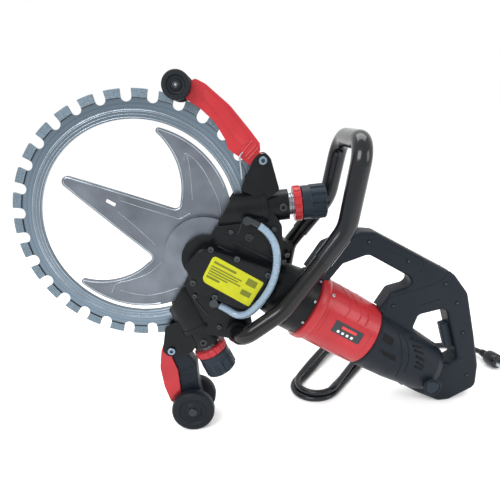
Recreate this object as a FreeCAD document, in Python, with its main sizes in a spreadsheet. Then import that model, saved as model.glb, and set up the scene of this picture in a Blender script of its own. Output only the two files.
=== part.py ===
"""Hand-held ring saw: a 350 mm cutting ring driven at its rim, on a wheeled stance.

Every sub-part is drawn in the saw's own axes, in millimetres, with the ring's centre
at the origin: x runs along the motor, y across the saw and z square to both. STANCE
then tips the saw forward until its wheels and its rear handle rest on the floor.
"""
import FreeCAD, Part
import math
import os
import Sketcher

V = FreeCAD.Vector
Placement = FreeCAD.Placement
Rotation = FreeCAD.Rotation

SIZES = {
    "ring_outer": 175.0, "ring_bore": 136.8, "ring_core": 163.2, "band_outer": 149.5,
    "band_half": 2.6, "web_half": 1.6, "segment_half": 2.8, "segment_count": 30,
    "gap_width": 15.5, "plate_outer": 130.0, "plate_half": 2.5,
    "drive_offset": 104.0, "drive_rim": 37.5, "drive_contact": 32.8, "drive_half": 7.0,
    "hub_radius": 32.0, "shaft_radius": 8.0, "layshaft_offset": 186.0, "layshaft_radius": 6.0,
    "pulley_seat": 10.0, "belt_width": 7.0, "belt_thick": 1.9,
    "motor_rise": 5.0, "motor_outer": 49.0, "motor_wall": 3.2, "armature_radius": 26.0,
    "armature_shaft": 5.0, "case_gap": 12.5, "case_face": 22.0, "cover_face": 45.0,
    "tube_outer": 27.5, "neck_outer": 21.5, "carriage_radius": 18.0, "stem_radius": 8.0,
    "roller_radius": 10.0, "roller_offset": 11.7, "roller_width": 5.8, "roller_pin": 3.5,
    "sleeve_outer": 16.0, "lock_outer": 25.0, "knob_outer": 24.5, "knob_bore": 16.6,
    "handle_half": 17.0, "handle_wall": 3.0, "loop_half": 65.0, "loop_radius": 11.7,
    "sleeve_wall": 1.5, "guard_half": 14.0, "guard_wall": 3.0, "ear_inner": 14.7,
    "ear_outer": 19.0, "pin_radius": 4.0, "wheel_radius": 33.0, "wheel_inner": 13.0,
    "wheel_outer": 29.0, "tip_radius": 18.5, "tip_inner": 15.0, "tip_outer": 27.0,
    "axle_radius": 5.0, "tip_axle": 3.5, "hose_radius": 5.2, "cord_radius": 4.8,
    "running_gap": 0.05,
}

TILT = 35.15                 # degrees that the motor axis falls below the horizontal
GUIDE_ANGLE = 35.4           # degrees of the guide tubes either side of the motor axis
FLOOR_DROP = 335.16          # the ring's centre stands this high over the floor
RING_X = -154.2              # the ring's centre from the middle of the saw's length
GUARD_HINGE = (108.5, 157.0)
TIP_WHEEL = (-33.5, 184.3)
LEG_HINGE = (129.0, -152.0)
LEG_WHEEL = (204.0, -225.9)
LOOP_NEAR_END = (198.0, -72.0)
LOOP_FAR_END = (232.0, 20.0)
INLET = (150.0, 40.0)
VALVE = (178.0, 58.0)
DIAL = (492.0, -5.5)
GLAND = (528.0, 2.0)
TRIGGER = (492.0, 69.6)
GRIP_SLOPE = math.degrees(math.atan2(-64.0, 71.0))


class Size:
    """A length from the sheet: its value, and the formula that an object is bound to."""

    def __init__(self, value, formula):
        self.value = value
        self.formula = formula

    def __float__(self):
        return float(self.value)

    def joined(self, other, sign, value):
        other_text = other.formula if isinstance(other, Size) else repr(other)
        return Size(value, f"({self.formula} {sign} {other_text})")

    def __add__(self, other):
        return self.joined(other, "+", float(self) + float(other))

    def __sub__(self, other):
        return self.joined(other, "-", float(self) - float(other))

    def __mul__(self, other):
        return self.joined(other, "*", float(self) * float(other))

    def __neg__(self):
        return self * -1


doc = FreeCAD.newDocument("ring_saw")
sheet = doc.addObject("Spreadsheet::Sheet", "dims")
D = {}
for row, (alias, number) in enumerate(SIZES.items(), start=1):
    sheet.set(f"A{row}", alias)
    sheet.set(f"B{row}", str(number))
    sheet.setAlias(f"B{row}", alias)
    D[alias] = Size(number, f"dims.{alias}")
doc.recompute()

STANCE = Placement(V(RING_X, 0, FLOOR_DROP), Rotation(V(0, 1, 0), TILT))
ALONG = {
    "x": Rotation(V(0, 1, 0), 90),
    "y": Rotation(V(1, 0, 0), -90),
    "z": Rotation(),
}
NODES = []


# ---------------------------------------------------------------- small makers

def bind(thing, prop, size):
    """Set a property to a number, or bind it to the sheet."""
    if isinstance(size, Size):
        thing.setExpression(prop, size.formula)
    else:
        setattr(thing, prop, size)


def node(thing, label, frame=None):
    """Name a finished sub-part and stand it in the row's frame."""
    thing.Label = label
    stand = STANCE.multiply(frame) if frame else STANCE
    thing.Placement = stand.multiply(thing.Placement)
    NODES.append(thing)
    return thing


def rod(name, radius, length, at, along="y", frame=None):
    """A cylinder that starts at a point and runs along an axis."""
    solid = doc.addObject("Part::Cylinder", name)
    bind(solid, "Radius", radius)
    bind(solid, "Height", length)
    place = Placement(V(*[float(n) for n in at]), ALONG[along])
    solid.Placement = frame.multiply(place) if frame else place
    return solid


def block(name, size, at, frame=None):
    """A box from its lowest corner."""
    solid = doc.addObject("Part::Box", name)
    for prop, length in zip(("Length", "Width", "Height"), size):
        bind(solid, prop, length)
    place = Placement(V(*[float(n) for n in at]), Rotation())
    solid.Placement = frame.multiply(place) if frame else place
    return solid


def fused(name, parts):
    solid = doc.addObject("Part::MultiFuse", name)
    solid.Shapes = parts
    solid.Refine = True
    return solid


def group(name, parts):
    solid = doc.addObject("Part::Compound", name)
    solid.Links = parts
    return solid


def cut(name, base, tools):
    solid = doc.addObject("Part::Cut", name)
    solid.Base = base
    solid.Tool = tools[0] if len(tools) == 1 else fused(name + "_tools", tools)
    solid.Refine = True
    return solid


def shaped(name, shape):
    """A solid that only Part's own functions can make."""
    solid = doc.addObject("Part::Feature", name)
    solid.Shape = shape
    return solid


# ---------------------------------------------------------------- outlines

def corner_arc(before, corner, after, radius):
    """The two tangent points and the middle of the arc that rounds a corner."""
    to_before = (before - corner).normalize()
    to_after = (after - corner).normalize()
    half = to_before.getAngle(to_after) / 2
    reach = radius / math.tan(half)
    bisector = (to_before + to_after).normalize()
    centre = corner + bisector * (radius / math.sin(half))
    return corner + to_before * reach, centre - bisector * radius, corner + to_after * reach


def outline(points):
    """Closed run of edges through (x, z, corner radius) points, drawn flat."""
    spots = [V(p[0], p[1], 0) for p in points]
    starts = []
    edges = []
    for index, point in enumerate(points):
        radius = point[2] if len(point) > 2 else 0
        spot = spots[index]
        if radius:
            first, middle, last = corner_arc(spots[index - 1], spot,
                                             spots[(index + 1) % len(spots)], radius)
            starts.append((first, last))
            edges.append(Part.Arc(first, middle, last))
        else:
            starts.append((spot, spot))
    for index in range(len(points)):
        leave = starts[index][1]
        arrive = starts[(index + 1) % len(points)][0]
        if leave.distanceToPoint(arrive) > 0.001:
            edges.append(Part.LineSegment(leave, arrive))
    return edges


def inset(points, depth):
    """The same outline drawn `depth` inside itself; its points run anticlockwise."""
    spots = [V(p[0], p[1], 0) for p in points]
    count = len(spots)
    moved = []
    for index in range(count):
        before = (spots[index] - spots[index - 1]).normalize()
        after = (spots[(index + 1) % count] - spots[index]).normalize()
        turn = before.x * after.y - before.y * after.x
        inward = V(-before.y - after.y, before.x + after.x, 0)
        scale = depth * 2 / (inward.Length ** 2) if inward.Length else 0
        spot = spots[index] + inward * scale
        radius = points[index][2] if len(points[index]) > 2 else 0
        radius = max(radius - depth, 0.8) if turn > 0 else radius + depth
        moved.append((spot.x, spot.y, radius))
    return moved


def plane(body, role):
    return [item for item in body.Origin.OriginFeatures if item.Role == role][0]


def draw(body, name, loops, role="XZ_Plane", lift=0.0):
    """A sketch on one of the body's own planes, with closed loops of edges."""
    sketch = body.newObject("Sketcher::SketchObject", name)
    sketch.AttachmentSupport = [(plane(body, role), "")]
    sketch.MapMode = "FlatFace"
    if isinstance(lift, Size):
        sketch.setExpression("AttachmentOffset.Base.z", lift.formula)
    sketch.AttachmentOffset = Placement(V(0, 0, float(lift)), Rotation())
    for loop in loops:
        sketch.addGeometry(loop, False)
    return sketch


def ring_loops(sketch_radii):
    return [[Part.Circle(V(0, 0, 0), V(0, 0, 1), float(radius))] for radius in sketch_radii]


def bind_circles(sketch, radii):
    """Give each circle of a sketch a radius that follows the sheet."""
    for index, radius in enumerate(radii):
        number = sketch.addConstraint(Sketcher.Constraint("Radius", index, float(radius)))
        if isinstance(radius, Size):
            sketch.setExpression(f"Constraints[{number}]", radius.formula)


def plate(name, loops, near, far, rounding=0.0):
    """A flat plate between two distances across the saw, front edges rounded if asked.

    Distances are measured towards the operator's left, which is -y.
    """
    body = doc.addObject("PartDesign::Body", name)
    body.AllowCompound = True
    sketch = draw(body, name + "_outline", loops, lift=near)
    pad = body.newObject("PartDesign::Pad", name + "_pad")
    pad.Profile = sketch
    thick = far - near if isinstance(far, Size) else float(far) - float(near)
    bind(pad, "Length", thick)
    doc.recompute()
    if rounding:
        level = -float(far)
        picked = []
        for index, edge in enumerate(pad.Shape.Edges, start=1):
            box = edge.BoundBox
            if abs(box.YMin - level) < 0.01 and abs(box.YMax - level) < 0.01:
                picked.append(f"Edge{index}")
        soft = body.newObject("PartDesign::Fillet", name + "_rounding")
        soft.Base = (pad, picked)
        soft.Radius = rounding
        doc.recompute()
    return body


def annulus(name, outer, inner, near, far):
    """A flat ring about the y axis."""
    body = doc.addObject("PartDesign::Body", name)
    body.AllowCompound = True
    sketch = draw(body, name + "_circles", ring_loops((outer, inner)), lift=near)
    bind_circles(sketch, (outer, inner))
    pad = body.newObject("PartDesign::Pad", name + "_pad")
    pad.Profile = sketch
    bind(pad, "Length", far - near)
    doc.recompute()
    return body


def turned(name, points, about="x"):
    """A body turned about x from (x, radius) points, or about y from (radius, y) points."""
    body = doc.addObject("PartDesign::Body", name)
    flat = [V(float(a), float(b), 0) for a, b in points]
    edges = [Part.LineSegment(flat[i - 1], flat[i]) for i in range(len(flat))]
    role, axis = ("XZ_Plane", "H_Axis") if about == "x" else ("XY_Plane", "V_Axis")
    sketch = draw(body, name + "_section", [edges], role=role)
    for index, point in enumerate(points):
        for kind, value in zip(("DistanceX", "DistanceY"), point):
            if isinstance(value, Size) and float(value) > 0:
                rule = Sketcher.Constraint(kind, -1, 1, index, 2, float(value))
                number = sketch.addConstraint(rule)
                sketch.setExpression(f"Constraints[{number}]", value.formula)
    for index in range(len(points)):
        sketch.addConstraint(Sketcher.Constraint("Coincident", index, 2,
                                                 (index + 1) % len(points), 1))
    spin = body.newObject("PartDesign::Revolution", name + "_turn")
    spin.Profile = sketch
    spin.ReferenceAxis = (sketch, [axis])
    spin.Angle = 360
    doc.recompute()
    return body


def fluted(body, name, radius, reach, start, length, count):
    """Cut `count` round flutes, along x, into a body turned about x."""
    profile = [Part.Circle(V(float(reach), 0, 0), V(0, 0, 1), float(radius))]
    sketch = draw(body, name, [profile], role="YZ_Plane", lift=start + length)
    flute = body.newObject("PartDesign::Pocket", name + "_cut")
    flute.Profile = sketch
    flute.Length = length
    doc.recompute()
    pattern = body.newObject("PartDesign::PolarPattern", name + "_round")
    pattern.Originals = [flute]
    pattern.Axis = (plane(body, "X_Axis"), [""])
    pattern.Angle = 360
    pattern.Occurrences = count
    body.Tip = pattern
    doc.recompute()
    return body


def bent_path(points):
    """Straight runs joined by tangent arcs, through (x, y, z, bend radius) points."""
    spots = [V(*p[:3]) for p in points]
    edges = []
    start = spots[0]
    for index in range(1, len(spots) - 1):
        first, middle, last = corner_arc(spots[index - 1], spots[index], spots[index + 1],
                                         points[index][3])
        edges.append(Part.LineSegment(start, first).toShape())
        edges.append(Part.Arc(first, middle, last).toShape())
        start = last
    edges.append(Part.LineSegment(start, spots[-1]).toShape())
    return Part.Wire(edges)


def round_bar(path, radius):
    """A solid of round section along a path."""
    start = path.OrderedVertexes[0].Point
    way = path.OrderedEdges[0].tangentAt(path.OrderedEdges[0].FirstParameter)
    circle = Part.Wire(Part.Circle(start, way, float(radius)).toShape())
    return path.makePipe(Part.Face(circle))


# ---------------------------------------------------------------- the cutting ring

def slot_outline(inner):
    """The U-shaped gap between two segments, open beyond the rim, on the +x axis."""
    half = SIZES["gap_width"] / 2
    beyond = SIZES["ring_outer"] + 6
    bottom = inner + half
    return [
        Part.LineSegment(V(beyond, half, 0), V(bottom, half, 0)),
        Part.Arc(V(bottom, half, 0), V(inner, 0, 0), V(bottom, -half, 0)),
        Part.LineSegment(V(bottom, -half, 0), V(beyond, -half, 0)),
        Part.LineSegment(V(beyond, -half, 0), V(beyond, half, 0)),
    ]


def gapped(body, name, inner):
    """Cut the gaps between the segments all round a ring."""
    sketch = draw(body, name, [slot_outline(inner)], lift=20.0)
    gap = body.newObject("PartDesign::Pocket", name + "_cut")
    gap.Profile = sketch
    gap.Length = 40
    doc.recompute()
    pattern = body.newObject("PartDesign::PolarPattern", name + "_round")
    pattern.Originals = [gap]
    pattern.Axis = (plane(body, "Y_Axis"), [""])
    pattern.Angle = 360
    pattern.Occurrences = int(SIZES["segment_count"])
    body.Tip = pattern
    doc.recompute()
    return body


def cutting_ring():
    core = annulus("core", D["ring_core"], D["ring_bore"], -D["web_half"], D["web_half"])
    gapped(core, "core_gap", 158.5)
    band = annulus("band", D["band_outer"], D["ring_bore"], -D["band_half"], D["band_half"])
    turn = Placement(V(), Rotation(V(0, 1, 0), -2.0))
    node(fused("ring", [core, band]), "ring_blade", turn)
    tips = annulus("tips", D["ring_outer"], D["ring_core"], -D["segment_half"],
                   D["segment_half"])
    node(gapped(tips, "tip_gap", 158.5), "ring_segments", turn)


# ---------------------------------------------------------------- centre plate

def finger_plate():
    """Cast plate inside the ring: three fingers and a dish over the drive wheel."""
    outer = SIZES["plate_outer"]
    tip = math.radians(104)
    lower = V(outer * math.cos(tip), -outer * math.sin(tip), 0)
    upper = V(lower.x, -lower.y, 0)
    edges = [Part.Arc(lower, V(outer, 0, 0), upper)]
    for side in (1, -1):
        rim = V(upper.x, side * upper.y, 0)
        inner_tip = V(-31, side * 118, 0)
        notch_top = V(37.5, side * 51, 0)
        notch_low = V(33, side * 37.8, 0)
        finger = V(-112, side * 7.5, 0)
        edges += [
            Part.Arc(rim, V(-35.2, side * 122.4, 0), inner_tip),
            Part.Arc(inner_tip, V(15, side * 90, 0), notch_top),
            Part.Arc(notch_top, V(38.8, side * 42.5, 0), notch_low),
            Part.Arc(notch_low, V(-30, side * 25, 0), finger),
        ]
    edges.append(Part.Arc(V(-112, 7.5, 0), V(-117, 0, 0), V(-112, -7.5, 0)))
    flat = plate("fingers", [edges], -D["plate_half"], D["plate_half"])
    x = D["drive_offset"]
    dish = rod("dish", 57, 10, (x, -12.5, 0))
    blank = fused("plate_blank", [flat, dish])
    well = rod("wheel_well", 41, 15, (x, -9, 0))
    shaft_hole = rod("plate_shaft_hole", D["shaft_radius"] + 1, 30, (x, -15, 0))
    rim_cut = cut("rim_clearance", rod("rim_zone", 240, 8.6, (0, -4.3, 0)),
                  [rod("rim_keep", 133, 12, (0, -6, 0))])
    slot = block("adjuster_slot", (14, 20, 6), (-53, -10, -1))
    node(cut("plate_cut", blank, [well, shaft_hole, rim_cut, slot]), "center_plate")


# ---------------------------------------------------------------- frame castings

CASE_OUTLINE = [
    (96, -68, 2), (150, -106.5, 6), (178, -96, 8), (200, -90, 10), (213, -80, 8),
    (213, -56, 8), (203.5, -44, 6), (203, 45, 6), (190, 71, 8), (175, 94, 8),
    (150, 106.5, 6), (96, 68, 2),
]
COVER_OUTLINE = [
    (84, -16, 14), (112, -43, 16), (188, -34, 12), (203, 8, 12), (198, 40, 8),
    (91, 18, 14),
]


def guide_frame(side):
    """The frame whose x axis runs outwards along the upper (+1) or lower (-1) guide."""
    return Placement(V(), Rotation(V(0, 1, 0), -side * GUIDE_ANGLE))


def guide_room(name, side):
    """The space that a guide housing takes out of the castings."""
    frame = guide_frame(side)
    return [
        rod(name + "_a", D["tube_outer"], 97, (80, 0, 0), "x", frame),
        rod(name + "_b", 29, 6, (173, 0, 0), "x", frame),
        rod(name + "_c", D["neck_outer"], 40, (176, 0, 0), "x", frame),
    ]


def casting(name, label, near, far):
    """One side of the frame: a plate with a round hub for the drive shaft's bearing."""
    sheet_part = plate(name + "_plate", [outline(CASE_OUTLINE)], near, far)
    hub = rod(name + "_hub", D["hub_radius"], abs(far - near), (D["drive_offset"], -max(near, far), 0))
    blank = fused(name + "_blank", [sheet_part, hub])
    tools = guide_room(name + "_up", 1) + guide_room(name + "_low", -1)
    start = -max(near, far) - 1
    tools.append(rod(name + "_seat", D["shaft_radius"] * 2, 12, (D["drive_offset"], start, 0)))
    tools.append(rod(name + "_lay", 13, 12, (D["layshaft_offset"], start, D["motor_rise"])))
    node(cut(name + "_cut", blank, tools), label)


def guide_housing(side, word):
    """Turned tube with a slot for the ring, a roller chamber and a plunger bore."""
    frame = guide_frame(side)
    tube = rod(word + "_tube", D["tube_outer"], 67, (110, 0, 0), "x")
    ridge = rod(word + "_ridge", 29, 6, (173, 0, 0), "x")
    neck = rod(word + "_neck", D["neck_outer"], 34, (176, 0, 0), "x")
    blank = fused(word + "_housing", [tube, ridge, neck])
    back = frame.inverse()
    tools = [
        block(word + "_chord", (60, 80, 400), (36, -40, -200), back),
        rod(word + "_ring_slot", 179.5, 9, (0, -4.5, 0)),
        rod(word + "_plate_room", 149, 25.2, (0, -12.6, 0)),
        rod(word + "_chamber", 24.5, 64.8, (98.5, 0, 0), "x"),
        rod(word + "_bore", D["carriage_radius"] + 0.08, 58, (147, 0, 0), "x"),
        rod(word + "_stem_hole", D["stem_radius"] + 0.08, 30, (190, 0, 0), "x"),
        rod(word + "_wheel_room", 60, 25.4,
            (SIZES["drive_offset"] * math.cos(math.radians(GUIDE_ANGLE)), -12.7,
             -side * SIZES["drive_offset"] * math.sin(math.radians(GUIDE_ANGLE)))),
    ]
    node(cut(word + "_housing_cut", blank, tools), word + "_guide_housing", frame)


def carriage(side, word):
    """Forked plunger that carries a roller each side of the ring, on radial pins."""
    frame = guide_frame(side)
    parts = [
        rod(word + "_plunger", D["carriage_radius"], 31, (157, 0, 0), "x"),
        rod(word + "_stem", D["stem_radius"], 68, (187, 0, 0), "x"),
    ]
    body = cut(word + "_fork", fused(word + "_plunger_blank", parts),
               [rod(word + "_fork_slot", 179.5, 8.4, (0, -4.2, 0))])
    pins = [
        rod(word + f"_pin{sign}", D["roller_pin"], 9, (150.9, sign * SIZES["roller_offset"], 0), "x")
        for sign in (-1, 1)
    ]
    node(fused(word + "_carriage_all", [body] + pins), word + "_carriage", frame)
    for sign, place in ((-1, "front"), (1, "rear")):
        start = (150.6, sign * SIZES["roller_offset"], 0)
        roller = cut(word + place + "_roller",
                     rod(word + place + "_rim", D["roller_radius"], D["roller_width"], start, "x"),
                     [rod(word + place + "_hole", D["roller_pin"] + D["running_gap"], 8,
                          (150, sign * SIZES["roller_offset"], 0), "x")])
        node(roller, f"{word}_{place}_roller", frame)


def threaded_sleeve(side):
    """Steel sleeve with a coarse thread form, screwed into the end of the housing."""
    outer = D["sleeve_outer"]
    points = [(210, 10), (210, outer)]
    for turn in range(7):
        crest = 211 + turn * 3
        points += [(crest, outer), (crest + 0.9, outer - 1), (crest + 1.8, outer - 1),
                   (crest + 2.7, outer)]
    points += [(232, outer), (232, 10)]
    sleeve = turned(f"sleeve{side}", points)
    sleeve.Placement = guide_frame(side)
    return sleeve


def adjuster(side, word):
    """Castellated lock ring and fluted hand knob."""
    frame = guide_frame(side)
    lock = turned(word + "_lock", [
        (217, D["knob_bore"]), (217, D["lock_outer"] - 1), (218, D["lock_outer"]),
        (226.5, D["lock_outer"]), (227.5, D["lock_outer"] - 1), (227.5, D["knob_bore"]),
    ])
    fluted(lock, word + "_lock_flute", 2.2, D["lock_outer"] + 0.6, 216, 13, 14)
    node(lock, word + "_lock_ring", frame)
    knob = turned(word + "_knob", [
        (228.5, D["knob_bore"]), (228.5, D["knob_outer"] - 1.3), (229.5, D["knob_outer"] - 0.6),
        (240, D["knob_outer"] - 0.6), (240.6, D["knob_outer"]), (260, D["knob_outer"]),
        (262, D["knob_outer"] - 2), (262, 0), (256, 0), (256, D["stem_radius"] + D["running_gap"]),
        (246, D["stem_radius"] + D["running_gap"]), (246, D["knob_bore"]),
    ])
    fluted(knob, word + "_knob_flute", 3.4, D["knob_outer"] + 1.2, 241, 25, 12)
    node(knob, word + "_knob", frame)


def guide_spring(side):
    """Spring between the carriage and the end of its bore, drawn as a row of rings."""
    rings = []
    for turn in range(5):
        coil = doc.addObject("Part::Torus", f"spring_ring{side}_{turn}")
        coil.Radius1 = 11.5
        coil.Radius2 = 0.9
        coil.Placement = Placement(V(195.2 + turn * 2.2, 0, 0), ALONG["x"])
        rings.append(coil)
    spring = group(f"guide_spring{side}", rings)
    spring.Placement = guide_frame(side)
    return spring


# ---------------------------------------------------------------- drive train

def drive_train():
    x = SIZES["drive_offset"]
    lay = SIZES["layshaft_offset"]
    rise = SIZES["motor_rise"]
    seat = D["pulley_seat"]
    rim = D["drive_rim"]
    half = D["drive_half"]
    floor_radius = D["drive_contact"] - 0.3
    wheel = turned("wheel", [
        (D["shaft_radius"], -half), (rim - 1, -half), (rim, -6), (rim, -5.4),
        (floor_radius, -2.95), (floor_radius, 2.95), (rim, 5.4), (rim, 6), (rim - 1, half),
        (D["shaft_radius"], half),
    ], "y")
    node(wheel, "drive_wheel", Placement(V(x, 0, 0), Rotation()))

    def pulley(shaft, tail):
        return [
            (0, -41), (seat + 2, -41), (seat + 2, -39.8), (seat, -39.8), (seat, -31.8),
            (seat + 2, -31.8), (seat + 2, -30.6), (shaft, -30.6), (shaft, tail), (0, tail),
        ]

    shaft = turned("shaft", pulley(D["shaft_radius"], 21.5), "y")
    node(shaft, "drive_shaft", Placement(V(x, 0, 0), Rotation()))
    counter = turned("counter", pulley(D["layshaft_radius"], 21.5), "y")
    node(counter, "layshaft", Placement(V(lay, 0, rise), Rotation()))
    gear = turned("gear", [
        (D["layshaft_radius"], 5.4), (13.0, 5.4), (19.4, 8), (19.4, 9), (14, 12),
        (D["layshaft_radius"], 12),
    ], "y")
    node(gear, "bevel_gear", Placement(V(lay, 0, rise), Rotation()))

    inner = SIZES["pulley_seat"] + 0.35
    outer = inner + SIZES["belt_thick"]
    belt = plate("belt", [belt_loop(outer), belt_loop(inner)], 32.3, 32.3 + SIZES["belt_width"])
    node(belt, "drive_belt")

    rings = []
    seats = [
        ("drive_left", (x, -21, 0), "y", D["shaft_radius"], D["shaft_radius"] * 2, 7.5),
        ("drive_right", (x, 13.5, 0), "y", D["shaft_radius"], D["shaft_radius"] * 2, 7.5),
        ("lay_left", (lay, -21, rise), "y", D["layshaft_radius"], 13, 7.5),
        ("lay_right", (lay, 13.5, rise), "y", D["layshaft_radius"], 13, 7.5),
        ("motor_front", (216, 0, rise), "x", D["armature_shaft"], 15, 9),
        ("motor_rear", (404, 0, rise), "x", D["armature_shaft"], 13, 8),
    ]
    for name, at, along, bore, outside, width in seats:
        base = rod(name + "_race", outside, width, at, along)
        hole = rod(name + "_bore", bore + D["running_gap"], width + 4,
                   [n - (2 if axis == along else 0) for n, axis in zip(at, "xyz")], along)
        rings.append(cut(name, base, [hole]))
    node(group("bearings", rings), "ball_bearings")


def belt_loop(radius):
    """Two arcs and two straight runs round the drive and layshaft pulleys."""
    first = V(SIZES["drive_offset"], 0, 0)
    second = V(SIZES["layshaft_offset"], SIZES["motor_rise"], 0)
    way = (second - first).normalize()
    side = V(-way.y, way.x, 0) * radius
    return [
        Part.LineSegment(first + side, second + side),
        Part.Arc(second + side, second + way * radius, second - side),
        Part.LineSegment(second - side, first - side),
        Part.Arc(first - side, first - way * radius, first + side),
    ]


def drive_cover():
    shell = plate("cover_shell", [outline(COVER_OUTLINE)], D["case_face"], D["cover_face"], 3.0)
    hollow = plate("cover_hollow", [outline(inset(COVER_OUTLINE, 2.6))], 20.0, 42.4)
    node(cut("cover_cut", shell, [hollow]), "drive_cover")


def case_screws():
    """Socket screws of the castings, the cover and the handle, heads proud of each face."""
    heads = []
    places = [
        (D["case_face"], 3.4, [(118, 52), (168, 84), (118, -56), (172, -82)]),
        (D["handle_half"], 3.0, [(289, 134), (355, 139), (420, 136), (486, 86), (541, 40),
                                 (545, -16), (373, 71)]),
    ]
    for face, radius, spots in places:
        for index, (x, z) in enumerate(spots):
            name = f"screw{int(x)}_{index}"
            head = rod(name, radius, 2.2, (x, -float(face) - 2.2, z))
            socket = rod(name + "_socket", radius * 0.5, 1.5, (x, -float(face) - 2.7, z))
            heads.append(cut(name + "_cut", head, [socket]))
    node(group("screws", heads), "case_screws")


# ---------------------------------------------------------------- motor

def motor():
    rise = Placement(V(0, 0, SIZES["motor_rise"]), Rotation())
    outer = D["motor_outer"]
    wall = D["motor_wall"]
    web = block("web", (26, 25, 150), (180, -12.5, -75))
    nose = turned("nose", [
        (204, 9), (204, 34), (214, 40), (240, 44), (262, 44), (262, 38), (228, 38),
        (225, 15), (216, 15), (216, 9),
    ])
    nose.Placement = rise
    case = cut("gear_case_cut", fused("gear_case_blank", [web, nose]), [
        rod("gear_room", 21.5, 30, (D["layshaft_offset"], -15, D["motor_rise"])),
        rod("pinion_room", 9, 30, (190, 0, D["motor_rise"]), "x"),
        rod("upper_tube_room", D["neck_outer"], 60, (160, 0, 0), "x", guide_frame(1)),
        rod("lower_tube_room", D["neck_outer"], 60, (160, 0, 0), "x", guide_frame(-1)),
    ])
    node(case, "gear_case")
    node(turned("flange", [
        (245, 44), (245, 47.5), (248, outer), (269, outer), (270, outer - 1), (270, 40),
        (262, 40), (262, 44),
    ]), "motor_flange", rise)
    node(turned("can", [
        (270, 41), (270, outer - 1), (272, outer), (300, outer + 0.6), (340, outer + 0.3),
        (373, outer - 0.8), (375, outer - 2.4), (375, 41), (372, 41), (372, outer - wall),
        (274, outer - wall), (274, 41),
    ]), "motor_housing", rise)
    node(turned("field", [
        (285, 27), (285, outer - wall), (347, outer - wall), (347, 27),
    ]), "stator", rise)
    node(turned("rotor_shaft", [
        (199.5, 0), (199.5, 5.0), (205.6, 7.5), (208, 7.5), (209, D["armature_shaft"]),
        (420, D["armature_shaft"]), (420, 0),
    ]), "armature_shaft", rise)
    core = turned("core_stack", [
        (285, D["armature_shaft"]), (285, D["armature_radius"]), (347, D["armature_radius"]),
        (347, D["armature_shaft"]),
    ])
    copper = turned("copper", [
        (372, D["armature_shaft"]), (372, 13), (392, 13), (392, D["armature_shaft"]),
    ])
    node(group("armature", [core, copper]), "armature_core", rise)
    blades = []
    for index in range(10):
        turn = Placement(V(), Rotation(V(1, 0, 0), index * 36))
        blades.append(block(f"fan_blade{index}", (7, 1.6, 28), (354, -0.8, 12), turn))
    hub = turned("fan_hub", [
        (352, D["armature_shaft"]), (352, 41), (354, 41), (354, 14), (362, 12),
        (362, D["armature_shaft"]),
    ])
    node(fused("fan_all", [hub] + blades), "fan", rise)
    carbons = [
        block("brush_left", (9, 18, 7), (377, -31.4, SIZES["motor_rise"] - 3.5)),
        block("brush_right", (9, 18, 7), (377, 13.4, SIZES["motor_rise"] - 3.5)),
    ]
    node(group("carbons", carbons), "brushes")


# ---------------------------------------------------------------- handles

HANDLE_OUTLINE = [
    (240, 46, 2), (277, 46, 2), (282, 87, 8), (307, 117, 12), (400, 118, 10),
    (368, 85, 10), (368, 50, 2), (376, 40, 2), (376, -34, 2), (500, -35, 8),
    (538, -31.1, 3), (552, -21.25, 3), (575, 19, 14), (556, 50, 16), (518, 90, 18),
    (469, 139, 20), (434, 153, 20), (297, 149, 14), (280, 141, 14), (252, 109, 10),
    (243, 97, 8),
]
D_OPENING = [
    (430, 53, 8), (470, 37, 10), (490, 20, 8), (528, 37, 12), (455, 104, 10), (425, 75, 8),
]


def handle_half(side, label):
    """One clamshell of the rear handle, with the motor's rear housing moulded in."""
    sign = -1 if side == "left" else 1
    half = SIZES["handle_half"]
    wall = SIZES["handle_wall"]
    outer = plate(side + "_frame", [outline(HANDLE_OUTLINE), outline(D_OPENING)], 0.0, half, 4.5)
    inner_hole = inset(D_OPENING, -wall)
    inner = plate(side + "_core", [outline(inset(HANDLE_OUTLINE, wall)), outline(inner_hole)],
                  -0.5, half - wall)
    drum = turned(side + "_drum", [
        (376, 0), (376, 46.5), (379, 48), (430, 46), (488, 40), (498, 36), (502, 30), (502, 0),
    ])
    drum.Placement = Placement(V(0, 0, SIZES["motor_rise"]), Rotation())
    room = turned(side + "_room", [
        (370, 0), (370, 44.8), (430, 42.8), (486, 37), (496, 32), (498, 27), (498, 0),
    ])
    room.Placement = drum.Placement
    keep = block(side + "_keep", (400, 60, 300), (220, -60, -100))
    solid = fused(side + "_solid", [outer, drum])
    motor_room = rod(side + "_motor_room", 49.9, 176, (200, 0, D["motor_rise"]), "x")
    hollow = fused(side + "_hollow", [inner, room])
    shell = cut(side + "_shell", solid, [hollow, motor_room])
    final = doc.addObject("Part::Common", side + "_common")
    final.Base = shell
    final.Tool = keep
    doc.recompute()
    if sign > 0:
        mirror = doc.addObject("Part::Mirroring", side + "_mirror")
        mirror.Source = final
        mirror.Normal = V(0, 1, 0)
        final = mirror
    tools = [trigger_room(side)]
    if side == "left":
        tools.append(rod("dial_hole", 10.4, 30, (DIAL[0], -50, DIAL[1])))
    else:
        tools.append(rod("gland_hole", 7.0, 12, (GLAND[0], 10, GLAND[1])))
    node(cut(side + "_handle_cut", final, tools), label)


def grip_frame():
    """x along the rear grip's inner edge, z out of the grip into the opening."""
    slope = Rotation(V(0, 1, 0), -GRIP_SLOPE)
    return Placement(V(TRIGGER[0], 0, TRIGGER[1]), slope)


def trigger_room(side):
    return block(side + "_trigger_room", (44.6, 13.6, 40), (-22.3, -6.8, -30), grip_frame())


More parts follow.
